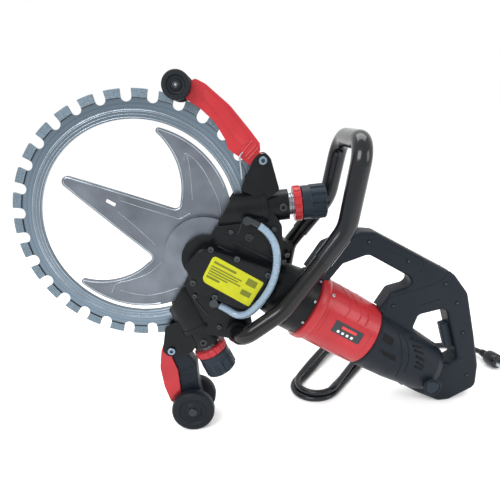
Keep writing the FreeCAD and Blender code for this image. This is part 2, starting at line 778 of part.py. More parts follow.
def trigger_and_switch():
    lever = block("trigger_block", (44, 13, 21), (-22, -6.5, -11), grip_frame())
    soft = doc.addObject("Part::Fillet", "trigger_soft")
    soft.Base = lever
    doc.recompute()
    soft.Edges = [(index, 2.5, 2.5) for index in range(1, 13)]
    node(soft, "trigger")
    body = block("switch_block", (30, 20, 11), (-20, -10, 15.5), grip_frame())
    node(body, "switch_body")


def dial_and_gland():
    dial = turned("dial", [
        (0, -47.5), (8.5, -47.5), (9.8, -46), (9.8, -38), (3, -38), (3, -26), (0, -26),
    ], "y")
    node(dial, "speed_dial", Placement(V(DIAL[0], 0, DIAL[1]), Rotation()))
    gland = turned("gland", [
        (4.8, 12), (6.8, 12), (6.8, 17), (9.5, 17), (9.5, 20), (8.0, 22), (6.4, 48), (4.8, 48),
    ], "y")
    node(gland, "cord_gland", Placement(V(GLAND[0], 0, GLAND[1]), Rotation()))


def loop_points():
    near = -SIZES["loop_half"]
    far = SIZES["loop_half"]
    return [
        (LOOP_NEAR_END[0], -24.0, LOOP_NEAR_END[1]),
        (LOOP_NEAR_END[0], near, LOOP_NEAR_END[1] + 2, 26),
        (229, near, 0, 60),
        (237, near, 80, 90),
        (242, near, 137, 55),
        (202, near, 240, 30),
        (200, far, 243, 30),
        (231, far, 155, 60),
        (217, far, 62, 34),
        (LOOP_FAR_END[0], far, LOOP_FAR_END[1], 20),
        (LOOP_FAR_END[0], 43.0, LOOP_FAR_END[1]),
    ]


def loop_handle():
    tube = bent_path(loop_points())
    outer = round_bar(tube, D["loop_radius"])
    inner = round_bar(tube, D["loop_radius"] - 2.2)
    node(shaped("tube", outer.cut(inner)), "loop_handle")
    points = loop_points()
    start = V(*points[3][:3]) + (V(*points[4][:3]) - V(*points[3][:3])) * 0.12
    end = V(*points[7][:3]) + (V(*points[8][:3]) - V(*points[7][:3])) * 0.72
    grip_path = bent_path([tuple(start)] + points[4:8] + [tuple(end)])
    skin = round_bar(grip_path, D["loop_radius"] + D["sleeve_wall"])
    core = round_bar(grip_path, D["loop_radius"])
    node(shaped("grip", skin.cut(core)), "grip_sleeve")
    near = rod("near_boss", 16, 14, (LOOP_NEAR_END[0], -36, LOOP_NEAR_END[1]))
    near_cut = cut("near_clamp", near, [
        rod("near_socket", D["loop_radius"], 20, (LOOP_NEAR_END[0], -44, LOOP_NEAR_END[1])),
    ])
    far = rod("far_boss", 16, 14, (LOOP_FAR_END[0], 36, LOOP_FAR_END[1]))
    far_cut = cut("far_clamp", far, [
        rod("far_socket", D["loop_radius"], 30, (LOOP_FAR_END[0], 43, LOOP_FAR_END[1])),
        rod("far_nose", 43.99, 45, (200, 0, D["motor_rise"]), "x"),
        rod("far_flange", D["motor_outer"], 30, (245, 0, D["motor_rise"]), "x"),
    ])
    node(group("clamps", [near_cut, far_cut]), "handle_clamps")


# ---------------------------------------------------------------- guards and wheels

GUARD_OUTLINE = [
    (-17, 175.2, 3), (5, 174.2, 20), (30, 168.6, 40), (54, 154.6, 3), (61, 147, 2),
    (81, 145, 2), (97, 142.5, 2), (101, 150, 4), (99, 167, 2), (94, 174.5, 4),
    (74, 182.8, 60), (37, 196.6, 60), (-3, 204.2, 8), (-21, 203.2, 6),
]
LEG_SHELL_OUTLINE = [
    (112, -141.5, 2), (116, -163, 16), (127, -189, 26), (148, -216, 26), (171, -237, 4),
    (187, -236, 3), (168, -203, 5), (153, -181, 8), (136, -166.5, 8), (119, -146, 3),
]
LEG_ARM_OUTLINE = [
    (119, -146, 4), (136, -166.5, 8), (153, -181, 8), (168, -203, 5), (187, -236, 10),
    (214, -240, 14), (218, -214, 12), (192, -187, 10), (174, -160, 8), (148, -147, 6),
]
EAR_OUTLINE = [
    (97, 150, 6), (101.5, 108, 2), (138, 112, 2), (148, 134, 5), (117, 164, 8), (108, 168, 8),
    (99, 161, 6),
]
LEG_EAR_OUTLINE = [
    (104, -124, 3), (118, -160, 6), (129, -163, 8), (141, -157, 7), (157, -140, 5),
    (158, -126, 3), (120, -100, 2),
]


def guards():
    wall = SIZES["guard_wall"]
    shell = plate("guard_skin", [outline(GUARD_OUTLINE)], -D["guard_half"], D["guard_half"])
    hollow = plate("guard_hollow", [outline(inset(GUARD_OUTLINE, wall))],
                   -D["guard_half"] + wall, D["guard_half"] - wall)
    tongue = block("tip_tongue", (24, 20, 14), (-40, -10, 177))
    cap = rod("tip_cap", 9, 20, (TIP_WHEEL[0], -10, TIP_WHEEL[1]))
    knuckle = rod("guard_knuckle", 8.5, 28, (GUARD_HINGE[0], -14, GUARD_HINGE[1]))
    link = block("guard_link", (12, 28, 14), (94, -14, 149.5))
    solid = cut("guard_open", shell, [hollow, rod("ring_sweep", 180, 21, (0, -10.5, 0))])
    guard = cut("guard_cut", fused("guard_all", [solid, tongue, cap, knuckle, link]), [
        rod("guard_pin_hole", D["pin_radius"] + D["running_gap"], 50,
            (GUARD_HINGE[0], -25, GUARD_HINGE[1])),
        rod("tip_axle_hole", D["tip_axle"], 50, (TIP_WHEEL[0], -25, TIP_WHEEL[1])),
        rod("ring_clear", 177.5, 14, (0, -7, 0)),
    ])
    node(guard, "upper_guard")
    node(rod("tip_axle_rod", D["tip_axle"], 56, (TIP_WHEEL[0], -28, TIP_WHEEL[1])), "tip_axle")
    node(twin_wheels("tip", TIP_WHEEL, D["tip_radius"], D["tip_axle"],
                    SIZES["tip_inner"], SIZES["tip_outer"]), "tip_wheels")

    arm = plate("leg_arm_plate", [outline(LEG_ARM_OUTLINE)], -11.0, 11.0, 1.5)
    arm_cut = cut("leg_arm_cut", arm, [
        rod("leg_pin_hole", D["pin_radius"] + D["running_gap"], 50, (LEG_HINGE[0], -25, LEG_HINGE[1])),
        rod("leg_axle_hole", D["axle_radius"], 50, (LEG_WHEEL[0], -25, LEG_WHEEL[1])),
    ])
    node(arm_cut, "leg_arm")
    skin = plate("leg_skin", [outline(LEG_SHELL_OUTLINE)], -14.0, 14.0)
    skin_cut = cut("leg_skin_cut", skin, [
        rod("leg_wheel_room_l", 36, 6, (LEG_WHEEL[0], -17, LEG_WHEEL[1])),
        rod("leg_wheel_room_r", 36, 6, (LEG_WHEEL[0], 11, LEG_WHEEL[1])),
        rod("leg_skin_pin", 8, 50, (LEG_HINGE[0], -25, LEG_HINGE[1])),
    ])
    node(skin_cut, "leg_shell")
    node(rod("leg_axle_rod", D["axle_radius"], 60, (LEG_WHEEL[0], -30, LEG_WHEEL[1])), "leg_axle")
    node(twin_wheels("leg", LEG_WHEEL, D["wheel_radius"], D["axle_radius"],
                    SIZES["wheel_inner"], SIZES["wheel_outer"]), "leg_wheels")

    ears = []
    for word, points, side in (("up", EAR_OUTLINE, 1), ("low", LEG_EAR_OUTLINE, -1)):
        for face, near in (("left", SIZES["ear_inner"]), ("right", -SIZES["ear_outer"])):
            far = near + SIZES["ear_outer"] - SIZES["ear_inner"]
            name = f"{word}_{face}_ear"
            blank = plate(name, [outline(points)], near, far)
            hinge = GUARD_HINGE if side > 0 else LEG_HINGE
            hole = rod(name + "_hole", D["pin_radius"], 50, (hinge[0], -25, hinge[1]))
            ears.append(cut(name + "_cut", blank, guide_room(name + "_room", side) + [hole]))
    node(group("ears", ears), "guard_brackets")
    pins = [
        rod("guard_pin", D["pin_radius"], 42, (GUARD_HINGE[0], -21, GUARD_HINGE[1])),
        rod("leg_pin", D["pin_radius"], 42, (LEG_HINGE[0], -21, LEG_HINGE[1])),
    ]
    node(group("pins", pins), "hinge_pins")
    wire = bent_path([
        (96, -21.5, 122), (78.5, -21.5, 147, 3), (80, -16, 153),
    ])
    node(shaped("spring_wire", round_bar(wire, 1.2)), "guard_spring")


def twin_wheels(word, centre, radius, axle, near, far):
    """A pair of wheels with dished outer faces, on one axle."""
    wheels = []
    rim = SIZES["running_gap"] + float(axle)
    for sign in (-1, 1):
        section = [
            (rim, near), (radius - 1.5, near), (radius, near + 1.5), (radius, far - 2),
            (radius - 2, far), (radius * 0.62, far), (radius * 0.55, far - 2.5),
            (rim + 3.5, far - 2.5), (rim + 3, far - 0.5), (rim, far - 0.5),
        ]
        wheel = turned(f"{word}_wheel{sign}", [(a, float(b)) for a, b in section], "y")
        turn = Rotation() if sign > 0 else Rotation(V(1, 0, 0), 180)
        wheel.Placement = Placement(V(centre[0], 0, centre[1]), turn)
        wheels.append(wheel)
    return group(word + "_wheel_pair", wheels)


# ---------------------------------------------------------------- water and cord

ELBOWS = [((128, 79), 80.5), ((145, -47), -47)]
HOSE = [
    (146, -34.4, 80.5), (166, -37.4, 79, 14), (186, -51.5, 60, 18), (199, -52, 28, 22),
    (200, -52, -2, 20), (194, -51.5, -32, 14), (183, -40.4, -47, 9), (168, -34.4, -47, 9),
    (154, -34.4, -47),
]


def water():
    elbows = []
    for index, (foot, mouth) in enumerate(ELBOWS):
        post = cut(f"elbow_foot{index}", rod(f"elbow_post{index}", 6, 18, (foot[0], -40, foot[1])),
                   guide_room(f"elbow_room{index}", 1))
        reach = HOSE[0][0] - foot[0] if index == 0 else HOSE[-1][0] - foot[0]
        spout = rod(f"elbow_spout{index}", D["hose_radius"], reach, (foot[0], -34.4, mouth), "x")
        elbows.append(fused(f"elbow{index}", [post, spout]))
    nipple = turned("nipple", [
        (3, 22), (9, 22), (9, 28), (6.5, 28), (6.5, 50), (3, 50),
    ], "y")
    nipple.Placement = Placement(V(INLET[0], 0, INLET[1]), Rotation())
    valve = rod("valve_post", 8, 12, (VALVE[0], 22, VALVE[1]))
    node(group("fittings", elbows + [nipple, valve]), "water_fittings")
    path = bent_path(HOSE)
    node(shaped("hose", round_bar(path, D["hose_radius"])), "water_hose")
    lever = fused("lever", [
        rod("lever_hub", 7, 6, (VALVE[0], 34.3, VALVE[1])),
        block("lever_arm", (7, 4, 26), (VALVE[0] - 3.5, 35, VALVE[1])),
    ])
    node(lever, "valve_lever")


CORD_LIE = SIZES["cord_radius"] + 0.2
HANK_MIDDLE = (118.0, 92.0)
HANK_TURN = 50.0             # degrees from the row's x axis to the hank's long axis
HANK_HALF = (96.0, 43.0)
HANK_HEIGHT = 27.0
LEAD_ROUTE = [
    (278.5, 48.0, 32.9), (278.5, 66.0, 31.5), (277.0, 84.0, 25.0), (270.0, 101.0, 13.5),
    (255.0, 117.0, CORD_LIE), (233.0, 128.0, CORD_LIE), (209.0, 129.0, CORD_LIE),
    (187.0, 115.0, CORD_LIE), (170.0, 95.0, CORD_LIE),
]
TAIL_ROUTE = [
    (150.0, 168.5, 20.0), (178.0, 171.0, 17.0), (205.0, 170.0, 9.0), (232.0, 164.0, CORD_LIE),
    (262.0, 154.5, CORD_LIE), (292.0, 147.5, CORD_LIE), (320.0, 143.5, CORD_LIE),
    (345.0, 141.0, CORD_LIE), (368.0, 132.0, 6.5), (386.0, 113.0, 10.5), (394.0, 88.0, 13.2),
]
PLUG_AT = (394.0, 88.0, 13.2)
PLUG_HEADING = -76.0         # degrees from the row's x axis to the pins' direction


def cord_bends(name, spots):
    """Bend radii of 0.45 of the shorter run, over the tangent of half the turn."""
    runs = [V(*spots[i + 1]) - V(*spots[i]) for i in range(len(spots) - 1)]
    bends = [spots[0]]
    for index in range(1, len(spots) - 1):
        turn = runs[index - 1].getAngle(runs[index])
        shorter = min(runs[index - 1].Length, runs[index].Length)
        radius = 0.45 * shorter / math.tan(turn / 2)
        print(name, index, "turn", round(math.degrees(turn)), "radius", round(radius),
              "runs", round(runs[index - 1].Length), round(runs[index].Length))
        bends.append((*spots[index], radius))
    bends.append(spots[-1])
    return bends


def floor_piece(thing, label):
    """Name a piece that is drawn straight in the row's frame."""
    thing.Label = label
    NODES.append(thing)


def cord():
    tubes = []
    for name, spots in (("lead", LEAD_ROUTE), ("tail", TAIL_ROUTE)):
        path = bent_path(cord_bends(name, spots))
        solid = round_bar(path, D["cord_radius"])
        section = math.pi * SIZES["cord_radius"] ** 2
        print(name, "length", round(path.Length), "volume ratio",
              round(solid.Volume / (section * path.Length), 4))
        tubes.append(solid)
    floor_piece(shaped("cord_tubes", Part.makeCompound(tubes)), "power_cord")
    half_long, half_wide = HANK_HALF
    round_end = half_wide - 1
    oval = outline([(-half_long, -half_wide, round_end), (half_long, -half_wide, round_end),
                    (half_long, half_wide, round_end), (-half_long, half_wide, round_end)])
    loop = Part.Wire(Part.__sortEdges__([edge.toShape() for edge in oval]))
    hank = shaped("hank", Part.Face(loop).extrude(V(0, 0, HANK_HEIGHT)))
    hank.Placement = Placement(V(*HANK_MIDDLE, 0.2), Rotation(V(0, 0, 1), HANK_TURN))
    floor_piece(hank, "cord_hank")


def plug():
    frame = Placement(V(*PLUG_AT), Rotation(V(0, 0, 1), PLUG_HEADING))
    body = turned("plug_body", [
        (0, 0), (0, 6.2), (12, 8.0), (14, 12.4), (36, 12.8), (38, 11.5), (38, 0),
    ])
    blades = [block(f"blade{sign}", (18, 1.6, 6.3), (37.5, sign * 6.35 - 0.8, -3.15))
              for sign in (-1, 1)]
    whole = fused("plug_all", [body] + blades)
    whole.Placement = frame
    floor_piece(whole, "plug")


for build in (cutting_ring, finger_plate):
    build()
casting("front", "front_casing", SIZES["case_gap"], SIZES["case_face"])
casting("rear", "rear_casing", -SIZES["case_face"], -SIZES["case_gap"])
for side_sign, side_word in ((1, "upper"), (-1, "lower")):
    guide_housing(side_sign, side_word)
    carriage(side_sign, side_word)
    adjuster(side_sign, side_word)
node(group("sleeves", [threaded_sleeve(1), threaded_sleeve(-1)]), "threaded_sleeves")
node(group("springs", [guide_spring(1), guide_spring(-1)]), "guide_springs")
for build in (drive_train, drive_cover, case_screws, motor):
    build()
handle_half("left", "handle_left")
handle_half("right", "handle_right")
for build in (trigger_and_switch, dial_and_gland, loop_handle, guards, water, cord, plug):
    build()

doc.recompute()
failed = [item.Name for item in doc.Objects if "Invalid" in item.State or "Error" in item.State]
if failed:
    raise SystemExit(f"failed objects: {failed}")
os.makedirs("parts", exist_ok=True)
bad = []
for item in NODES:
    shape = item.Shape
    if shape.isNull() or not shape.isValid():
        bad.append(item.Label)
if bad:
    raise SystemExit(f"no valid shape: {bad}")
for item in NODES:
    item.Shape.exportStep(f"parts/{item.Label}.step")
print(len(NODES), "sub-parts")
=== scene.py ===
"""Looks of a hand-held ring saw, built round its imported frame.

Details are drawn in the saw's own axes, in millimetres from the ring's centre: u along
the motor, y across the saw and v square to both. SAW carries them into the row frame.
"""
import math

import bmesh
import bpy
from mathutils import Matrix, Vector


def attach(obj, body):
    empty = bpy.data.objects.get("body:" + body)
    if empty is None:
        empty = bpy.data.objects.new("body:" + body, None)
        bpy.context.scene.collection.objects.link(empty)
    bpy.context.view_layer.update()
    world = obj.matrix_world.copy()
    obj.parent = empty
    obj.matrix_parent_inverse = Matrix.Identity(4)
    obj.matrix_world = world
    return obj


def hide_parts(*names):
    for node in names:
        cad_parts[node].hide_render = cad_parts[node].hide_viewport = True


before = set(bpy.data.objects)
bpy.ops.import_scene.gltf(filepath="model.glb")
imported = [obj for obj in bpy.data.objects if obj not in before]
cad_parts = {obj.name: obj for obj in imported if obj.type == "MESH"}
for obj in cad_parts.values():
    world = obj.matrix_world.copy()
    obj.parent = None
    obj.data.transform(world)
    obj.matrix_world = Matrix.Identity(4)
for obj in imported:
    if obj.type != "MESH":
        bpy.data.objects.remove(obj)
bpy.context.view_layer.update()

bl_info = {
    "name": "Ring Saw Looks",
    "version": (1, 0, 0),
    "blender": (4, 5, 0),
    "location": "View3D > Sidebar > Ring Saw",
    "description": "Finishes and details of a hand-held ring saw",
    "category": "Object",
}

TILT = math.radians(35.15)
RING_CENTRE = Vector((-0.1542, 0.0, 0.33516))
SAW = (Matrix.Translation(RING_CENTRE) @ Matrix.Rotation(TILT, 4, "Y")
       @ Matrix.Scale(0.001, 4))
GUIDE_ANGLE = math.radians(35.4)
MOTOR_RISE = 5.0
BARREL_RADIUS = 49.0
SEGMENTS = 30
SEGMENT_PITCH = 360 / SEGMENTS
FIRST_GAP = 2.0
RING_FACE = 2.6
CASTING_FACE = 22.0
HANDLE_FACE = 17.0
COVER_FACE = -45.0
GUARD_FACE = 14.0
GUARD_HINGE = (108.5, 157.0)
LEG_HINGE = (129.0, -152.0)
DIAL = (492.0, -5.5)
MADE = {}


# ---------------------------------------------------------------- sizes and colours

class SawSizes(bpy.types.PropertyGroup):
    """Sizes that a user would change."""
    cord_diameter: bpy.props.FloatProperty(
        name="Cord diameter", description="Thickness of the power lead",
        default=0.0096, unit="LENGTH")
    hose_diameter: bpy.props.FloatProperty(
        name="Hose diameter", description="Outside of the clear water hose",
        default=0.0104, unit="LENGTH")
    edge_bead: bpy.props.FloatProperty(
        name="Edge bead", description="Radius of the bright bead round the centre plate",
        default=0.0013, unit="LENGTH")
    panel_rise: bpy.props.FloatProperty(
        name="Panel rise", description="How far moulded panels stand proud",
        default=0.0012, unit="LENGTH")
    rounding: bpy.props.FloatProperty(
        name="Edge softness", description="Radius that light sees on machined and moulded edges",
        default=0.0007, unit="LENGTH")
    camera_lens: bpy.props.FloatProperty(
        name="Lens", description="Focal length on a 36 mm sensor", default=30.96)
    camera_place: bpy.props.FloatVectorProperty(
        name="Camera place", description="Where the camera stands",
        default=(-0.0022, -0.6000, 0.4462), unit="LENGTH")
    camera_target: bpy.props.FloatVectorProperty(
        name="Camera target", description="Point that the camera looks at",
        default=(-0.0044, 0.0, 0.2746), unit="LENGTH")
    camera_up: bpy.props.FloatVectorProperty(
        name="Camera up", description="Direction that is up in the picture",
        default=(0.0985, 0.0, 0.9951))


class SawColours(bpy.types.PropertyGroup):
    """Base colours of the finishes."""
    red: bpy.props.FloatVectorProperty(
        name="Red plastic", description="Guards, motor housing and lock rings",
        default=(0.34, 0.018, 0.024), subtype="COLOR")
    casting: bpy.props.FloatVectorProperty(
        name="Black casting", description="Enamel of the cast frame",
        default=(0.0035, 0.0042, 0.0052), subtype="COLOR")
    handle: bpy.props.FloatVectorProperty(
        name="Handle plastic", description="Blue-black moulded plastic",
        default=(0.0062, 0.0098, 0.0150), subtype="COLOR")
    rubber: bpy.props.FloatVectorProperty(
        name="Rubber", description="Tyres and knobs",
        default=(0.0070, 0.0090, 0.0125), subtype="COLOR")
    steel: bpy.props.FloatVectorProperty(
        name="Ring steel", description="Brushed steel of the cutting ring",
        default=(0.150, 0.195, 0.240), subtype="COLOR")
    alloy: bpy.props.FloatVectorProperty(
        name="Plate alloy", description="Cast aluminium of the centre plate",
        default=(0.135, 0.152, 0.178), subtype="COLOR")
    label: bpy.props.FloatVectorProperty(
        name="Label", description="Yellow-green plate on the drive cover",
        default=(0.38, 0.39, 0.012), subtype="COLOR")
    hose: bpy.props.FloatVectorProperty(
        name="Hose", description="Milky tint of the water hose",
        default=(0.26, 0.36, 0.46), subtype="COLOR")


def sizes():
    return bpy.context.scene.ring_saw_sizes


def colours():
    return bpy.context.scene.ring_saw_colours


# ---------------------------------------------------------------- finishes

class Recipe:
    """A material's nodes, with short ways to add to them."""

    def __init__(self, name, colour, roughness, metallic=0.0):
        self.material = bpy.data.materials.new(name)
        self.material.use_nodes = True
        self.tree = self.material.node_tree
        self.shader = self.tree.nodes["Principled BSDF"]
        self.set("Metallic", metallic)
        self.set("Base Color", (*colour, 1.0))
        self.set("Roughness", roughness)
        self.colour = colour
        self.roughness = roughness
        self.place = self.add("ShaderNodeTexCoord").outputs["Object"]

    def set(self, socket, value):
        self.shader.inputs[socket].default_value = value

    def add(self, kind, inputs=(), **settings):
        made = self.tree.nodes.new(kind)
        for key, value in settings.items():
            setattr(made, key, value)
        for key, value in dict(inputs).items():
            if isinstance(value, bpy.types.NodeSocket):
                self.join(value, made.inputs[key])
            else:
                made.inputs[key].default_value = value
        return made

    def join(self, start, end):
        self.tree.links.new(start, end)

    def noise(self, scale, detail=3.0, place=None):
        node = self.add("ShaderNodeTexNoise", {"Scale": scale, "Detail": detail,
                                               "Vector": place or self.place})
        return node.outputs["Fac"]

    def spread(self, fac, low, high, start=0.3, end=0.7):
        node = self.add("ShaderNodeMapRange", {"Value": fac, "From Min": start, "From Max": end,
                                               "To Min": low, "To Max": high})
        return node.outputs["Result"]

    def tones(self, fac, dark, light):
        """Shade the base colour between two strengths of itself."""
        ramp = self.add("ShaderNodeValToRGB", {"Fac": fac})
        ends = ramp.color_ramp.elements
        ends[0].position, ends[1].position = 0.3, 0.7
        ends[0].color = (*[c * dark for c in self.colour], 1.0)
        ends[1].color = (*[min(c * light, 1.0) for c in self.colour], 1.0)
        self.join(ramp.outputs["Color"], self.shader.inputs["Base Color"])
        return ramp.outputs["Color"]

    def gloss(self, fac, wander):
        self.join(self.spread(fac, self.roughness - wander, self.roughness + wander),
                  self.shader.inputs["Roughness"])

    def relief(self, height, depth, strength=1.0, rounding=0.0):
        bump = self.add("ShaderNodeBump", {"Height": height, "Distance": depth,
                                           "Strength": strength})
        if rounding:
            soft = self.add("ShaderNodeBevel", {"Radius": rounding}, samples=4)
            self.join(soft.outputs["Normal"], bump.inputs["Normal"])
        self.join(bump.outputs["Normal"], self.shader.inputs["Normal"])

    def worn_and_sheen_edges(self, base, light, radius):
        """Lighten the edges: partly wear, where hands and floors have rubbed the finish, and
        partly a painted highlight for the sheen that rounded edges catch.
        """
        soft = self.add("ShaderNodeBevel", {"Radius": radius}, samples=4)
        plain = self.add("ShaderNodeNewGeometry")
        turn = self.add("ShaderNodeVectorMath", {0: soft.outputs["Normal"],
                                                 1: plain.outputs["Normal"]},
                        operation="DOT_PRODUCT")
        # Edge mask from the bevelled normal: it paints the edges lighter, partly as wear and
        # partly as a painted highlight for edge sheen.
        edge = self.spread(turn.outputs["Value"], 1.0, 0.0, 0.80, 0.98)
        wear_and_sheen_mask = self.add("ShaderNodeMath", {0: edge, 1: self.noise(90.0, 4.0)},
                          operation="MULTIPLY")
        mix = self.add("ShaderNodeMix", {"Factor": wear_and_sheen_mask.outputs["Value"]}, data_type="RGBA")
        self.join(base, mix.inputs[6])
        mix.inputs[7].default_value = (*light, 1.0)
        self.join(mix.outputs[2], self.shader.inputs["Base Color"])


def moulded(name, colour, roughness, grain=0.00012, grain_scale=900.0, coat=0.0, edge=1.7):
    """Moulded plastic or rubber: faint tone changes, fine grain and soft edges."""
    made = Recipe(name, colour, roughness)
    base = made.tones(made.noise(14.0, 4.0), 0.86, 1.16)
    made.gloss(made.noise(55.0, 3.0), 0.07)
    # Edge colour is `edge` times the base: partly wear, partly a painted highlight for the sheen
    # on rounded edges.
    made.worn_and_sheen_edges(base, [min(c * edge + 0.012, 1.0) for c in colour], sizes().rounding * 1.6)
    made.relief(made.noise(grain_scale, 2.0), grain, 0.6, sizes().rounding)
    made.set("Specular IOR Level", 0.16)
    if coat:
        made.set("Coat Weight", coat)
        made.set("Coat Roughness", 0.15)
    return made.material


def enamel(name, colour, roughness, coat=0.08):
    """Semi-gloss enamel over a cast surface."""
    made = Recipe(name, colour, roughness)
    made.set("Specular IOR Level", 0.12)
    base = made.tones(made.noise(22.0, 5.0), 0.75, 1.4)
    made.gloss(made.noise(70.0, 4.0), 0.10)
    # A lighter grey on the edges: partly wear, partly a painted highlight for the sheen along the
    # casting's edges.
    made.worn_and_sheen_edges(base, (0.024, 0.027, 0.032), sizes().rounding * 2.0)
    made.relief(made.noise(260.0, 3.0), 0.00022, 0.55, sizes().rounding)
    made.set("Coat Weight", coat)
    made.set("Coat Roughness", 0.18)
    return made.material


def metal(name, colour, roughness):
    """Plain machined or plated metal."""
    made = Recipe(name, colour, roughness, 1.0)
    made.tones(made.noise(36.0, 4.0), 0.75, 1.2)
    made.gloss(made.noise(90.0, 3.0), 0.07)
    made.relief(made.noise(900.0, 2.0), 0.00006, 0.5, sizes().rounding * 0.6)
    return made.material


def turned_steel(name, colour):
    """Steel with fine machining lines round the ring's centre."""
    made = Recipe(name, colour, 0.30, 1.0)
    spot = made.add("ShaderNodeVectorMath", {0: made.place}, operation="SUBTRACT")
    spot.inputs[1].default_value = RING_CENTRE
    flat = made.add("ShaderNodeVectorMath", {0: spot.outputs["Vector"]}, operation="MULTIPLY")
    flat.inputs[1].default_value = (1.0, 0.0, 1.0)
    radius = made.add("ShaderNodeVectorMath", {0: flat.outputs["Vector"]}, operation="LENGTH")
    lines = made.add("ShaderNodeTexNoise", {"W": radius.outputs["Value"], "Scale": 1400.0,
                                            "Detail": 2.0}, noise_dimensions="1D")
    coarse = made.add("ShaderNodeTexNoise", {"W": radius.outputs["Value"], "Scale": 260.0,
                                             "Detail": 1.0}, noise_dimensions="1D")
    both = made.add("ShaderNodeMix", {"Factor": 0.45}, data_type="FLOAT")
    made.join(lines.outputs["Fac"], both.inputs[2])
    made.join(coarse.outputs["Fac"], both.inputs[3])
    made.tones(both.outputs[0], 0.62, 1.25)
    made.gloss(lines.outputs["Fac"], 0.08)
    made.relief(lines.outputs["Fac"], 0.00008, 0.8, sizes().rounding * 0.5)
    made.set("Anisotropic", 0.65)
    world = made.add("ShaderNodeNewGeometry").outputs["Position"]
    arm = made.add("ShaderNodeVectorMath", {0: world}, operation="SUBTRACT")
    arm.inputs[1].default_value = RING_CENTRE
    way = made.add("ShaderNodeVectorMath", {0: arm.outputs["Vector"]}, operation="CROSS_PRODUCT")
    way.inputs[1].default_value = (0.0, 1.0, 0.0)
    made.join(way.outputs["Vector"], made.shader.inputs["Tangent"])
    return made.material


def gritty(name, colour):
    """Sintered segments: a metal matrix full of small hard grains."""
    made = Recipe(name, colour, 0.46, 0.85)
    cells = made.add("ShaderNodeTexVoronoi", {"Vector": made.place, "Scale": 900.0})
    made.tones(made.noise(420.0, 5.0), 0.75, 1.25)
    made.gloss(made.noise(500.0), 0.12)
    made.relief(cells.outputs["Distance"], 0.00018, 0.6, sizes().rounding * 0.6)
    return made.material


def cast_plate(name, colour):
    """Cast aluminium that has been tumbled: dull, cloudy, with small pits."""
    made = Recipe(name, colour, 0.36, 0.92)
    made.tones(made.noise(16.0, 6.0), 0.70, 1.28)
    made.gloss(made.noise(34.0, 5.0), 0.12)
    made.relief(made.noise(420.0, 4.0), 0.00016, 0.7, sizes().rounding)
    return made.material


def milky(name, colour):
    """Milky flexible tube."""
    made = Recipe(name, colour, 0.26)
    made.tones(made.noise(40.0, 3.0), 0.94, 1.06)
    made.gloss(made.noise(80.0), 0.04)
    made.relief(made.noise(120.0), 0.00003, 0.3)
    made.set("Transmission Weight", 0.30)
    made.set("IOR", 1.42)
    made.set("Subsurface Weight", 0.25)
    made.set("Subsurface Scale", 0.004)
    made.set("Coat Weight", 0.4)
    return made.material


def printed(name, colour, roughness=0.42):
    """Ink or printed film, slightly uneven."""
    made = Recipe(name, colour, roughness)
    made.set("Specular IOR Level", 0.15)
    made.tones(made.noise(120.0, 3.0), 0.92, 1.06)
    made.gloss(made.noise(200.0), 0.05)
    made.relief(made.noise(800.0), 0.00003, 0.4)
    return made.material


NODE_FINISH = {
    "ring_steel": ["ring_blade"],
    "segment_grit": ["ring_segments"],
    "plate_alloy": ["center_plate"],
    "casting_enamel": ["front_casing", "rear_casing", "upper_guide_housing",
                       "lower_guide_housing", "gear_case", "drive_cover", "motor_flange",
                       "guard_brackets", "handle_clamps"],
    "bright_steel": ["upper_carriage", "lower_carriage", "upper_front_roller",
                     "upper_rear_roller", "lower_front_roller", "lower_rear_roller",
                     "drive_wheel", "drive_shaft", "layshaft", "bevel_gear", "ball_bearings",
                     "armature_shaft", "threaded_sleeves", "tip_axle", "guard_spring",
                     "guide_springs"],
    "black_steel": ["hinge_pins", "leg_axle", "water_fittings"],
    "laminated_iron": ["stator", "armature_core"],
    "red_plastic": ["upper_guard", "leg_shell", "motor_housing", "upper_lock_ring",
                    "lower_lock_ring"],
    "knob_plastic": ["upper_knob", "lower_knob", "speed_dial", "trigger", "fan", "switch_body",
                     "valve_lever"],
    "handle_plastic": ["handle_left", "handle_right", "leg_arm"],
    "belt_rubber": ["drive_belt"],
    "carbon": ["brushes"],
    "grip_rubber": ["grip_sleeve"],
    "tube_paint": ["loop_handle"],
}


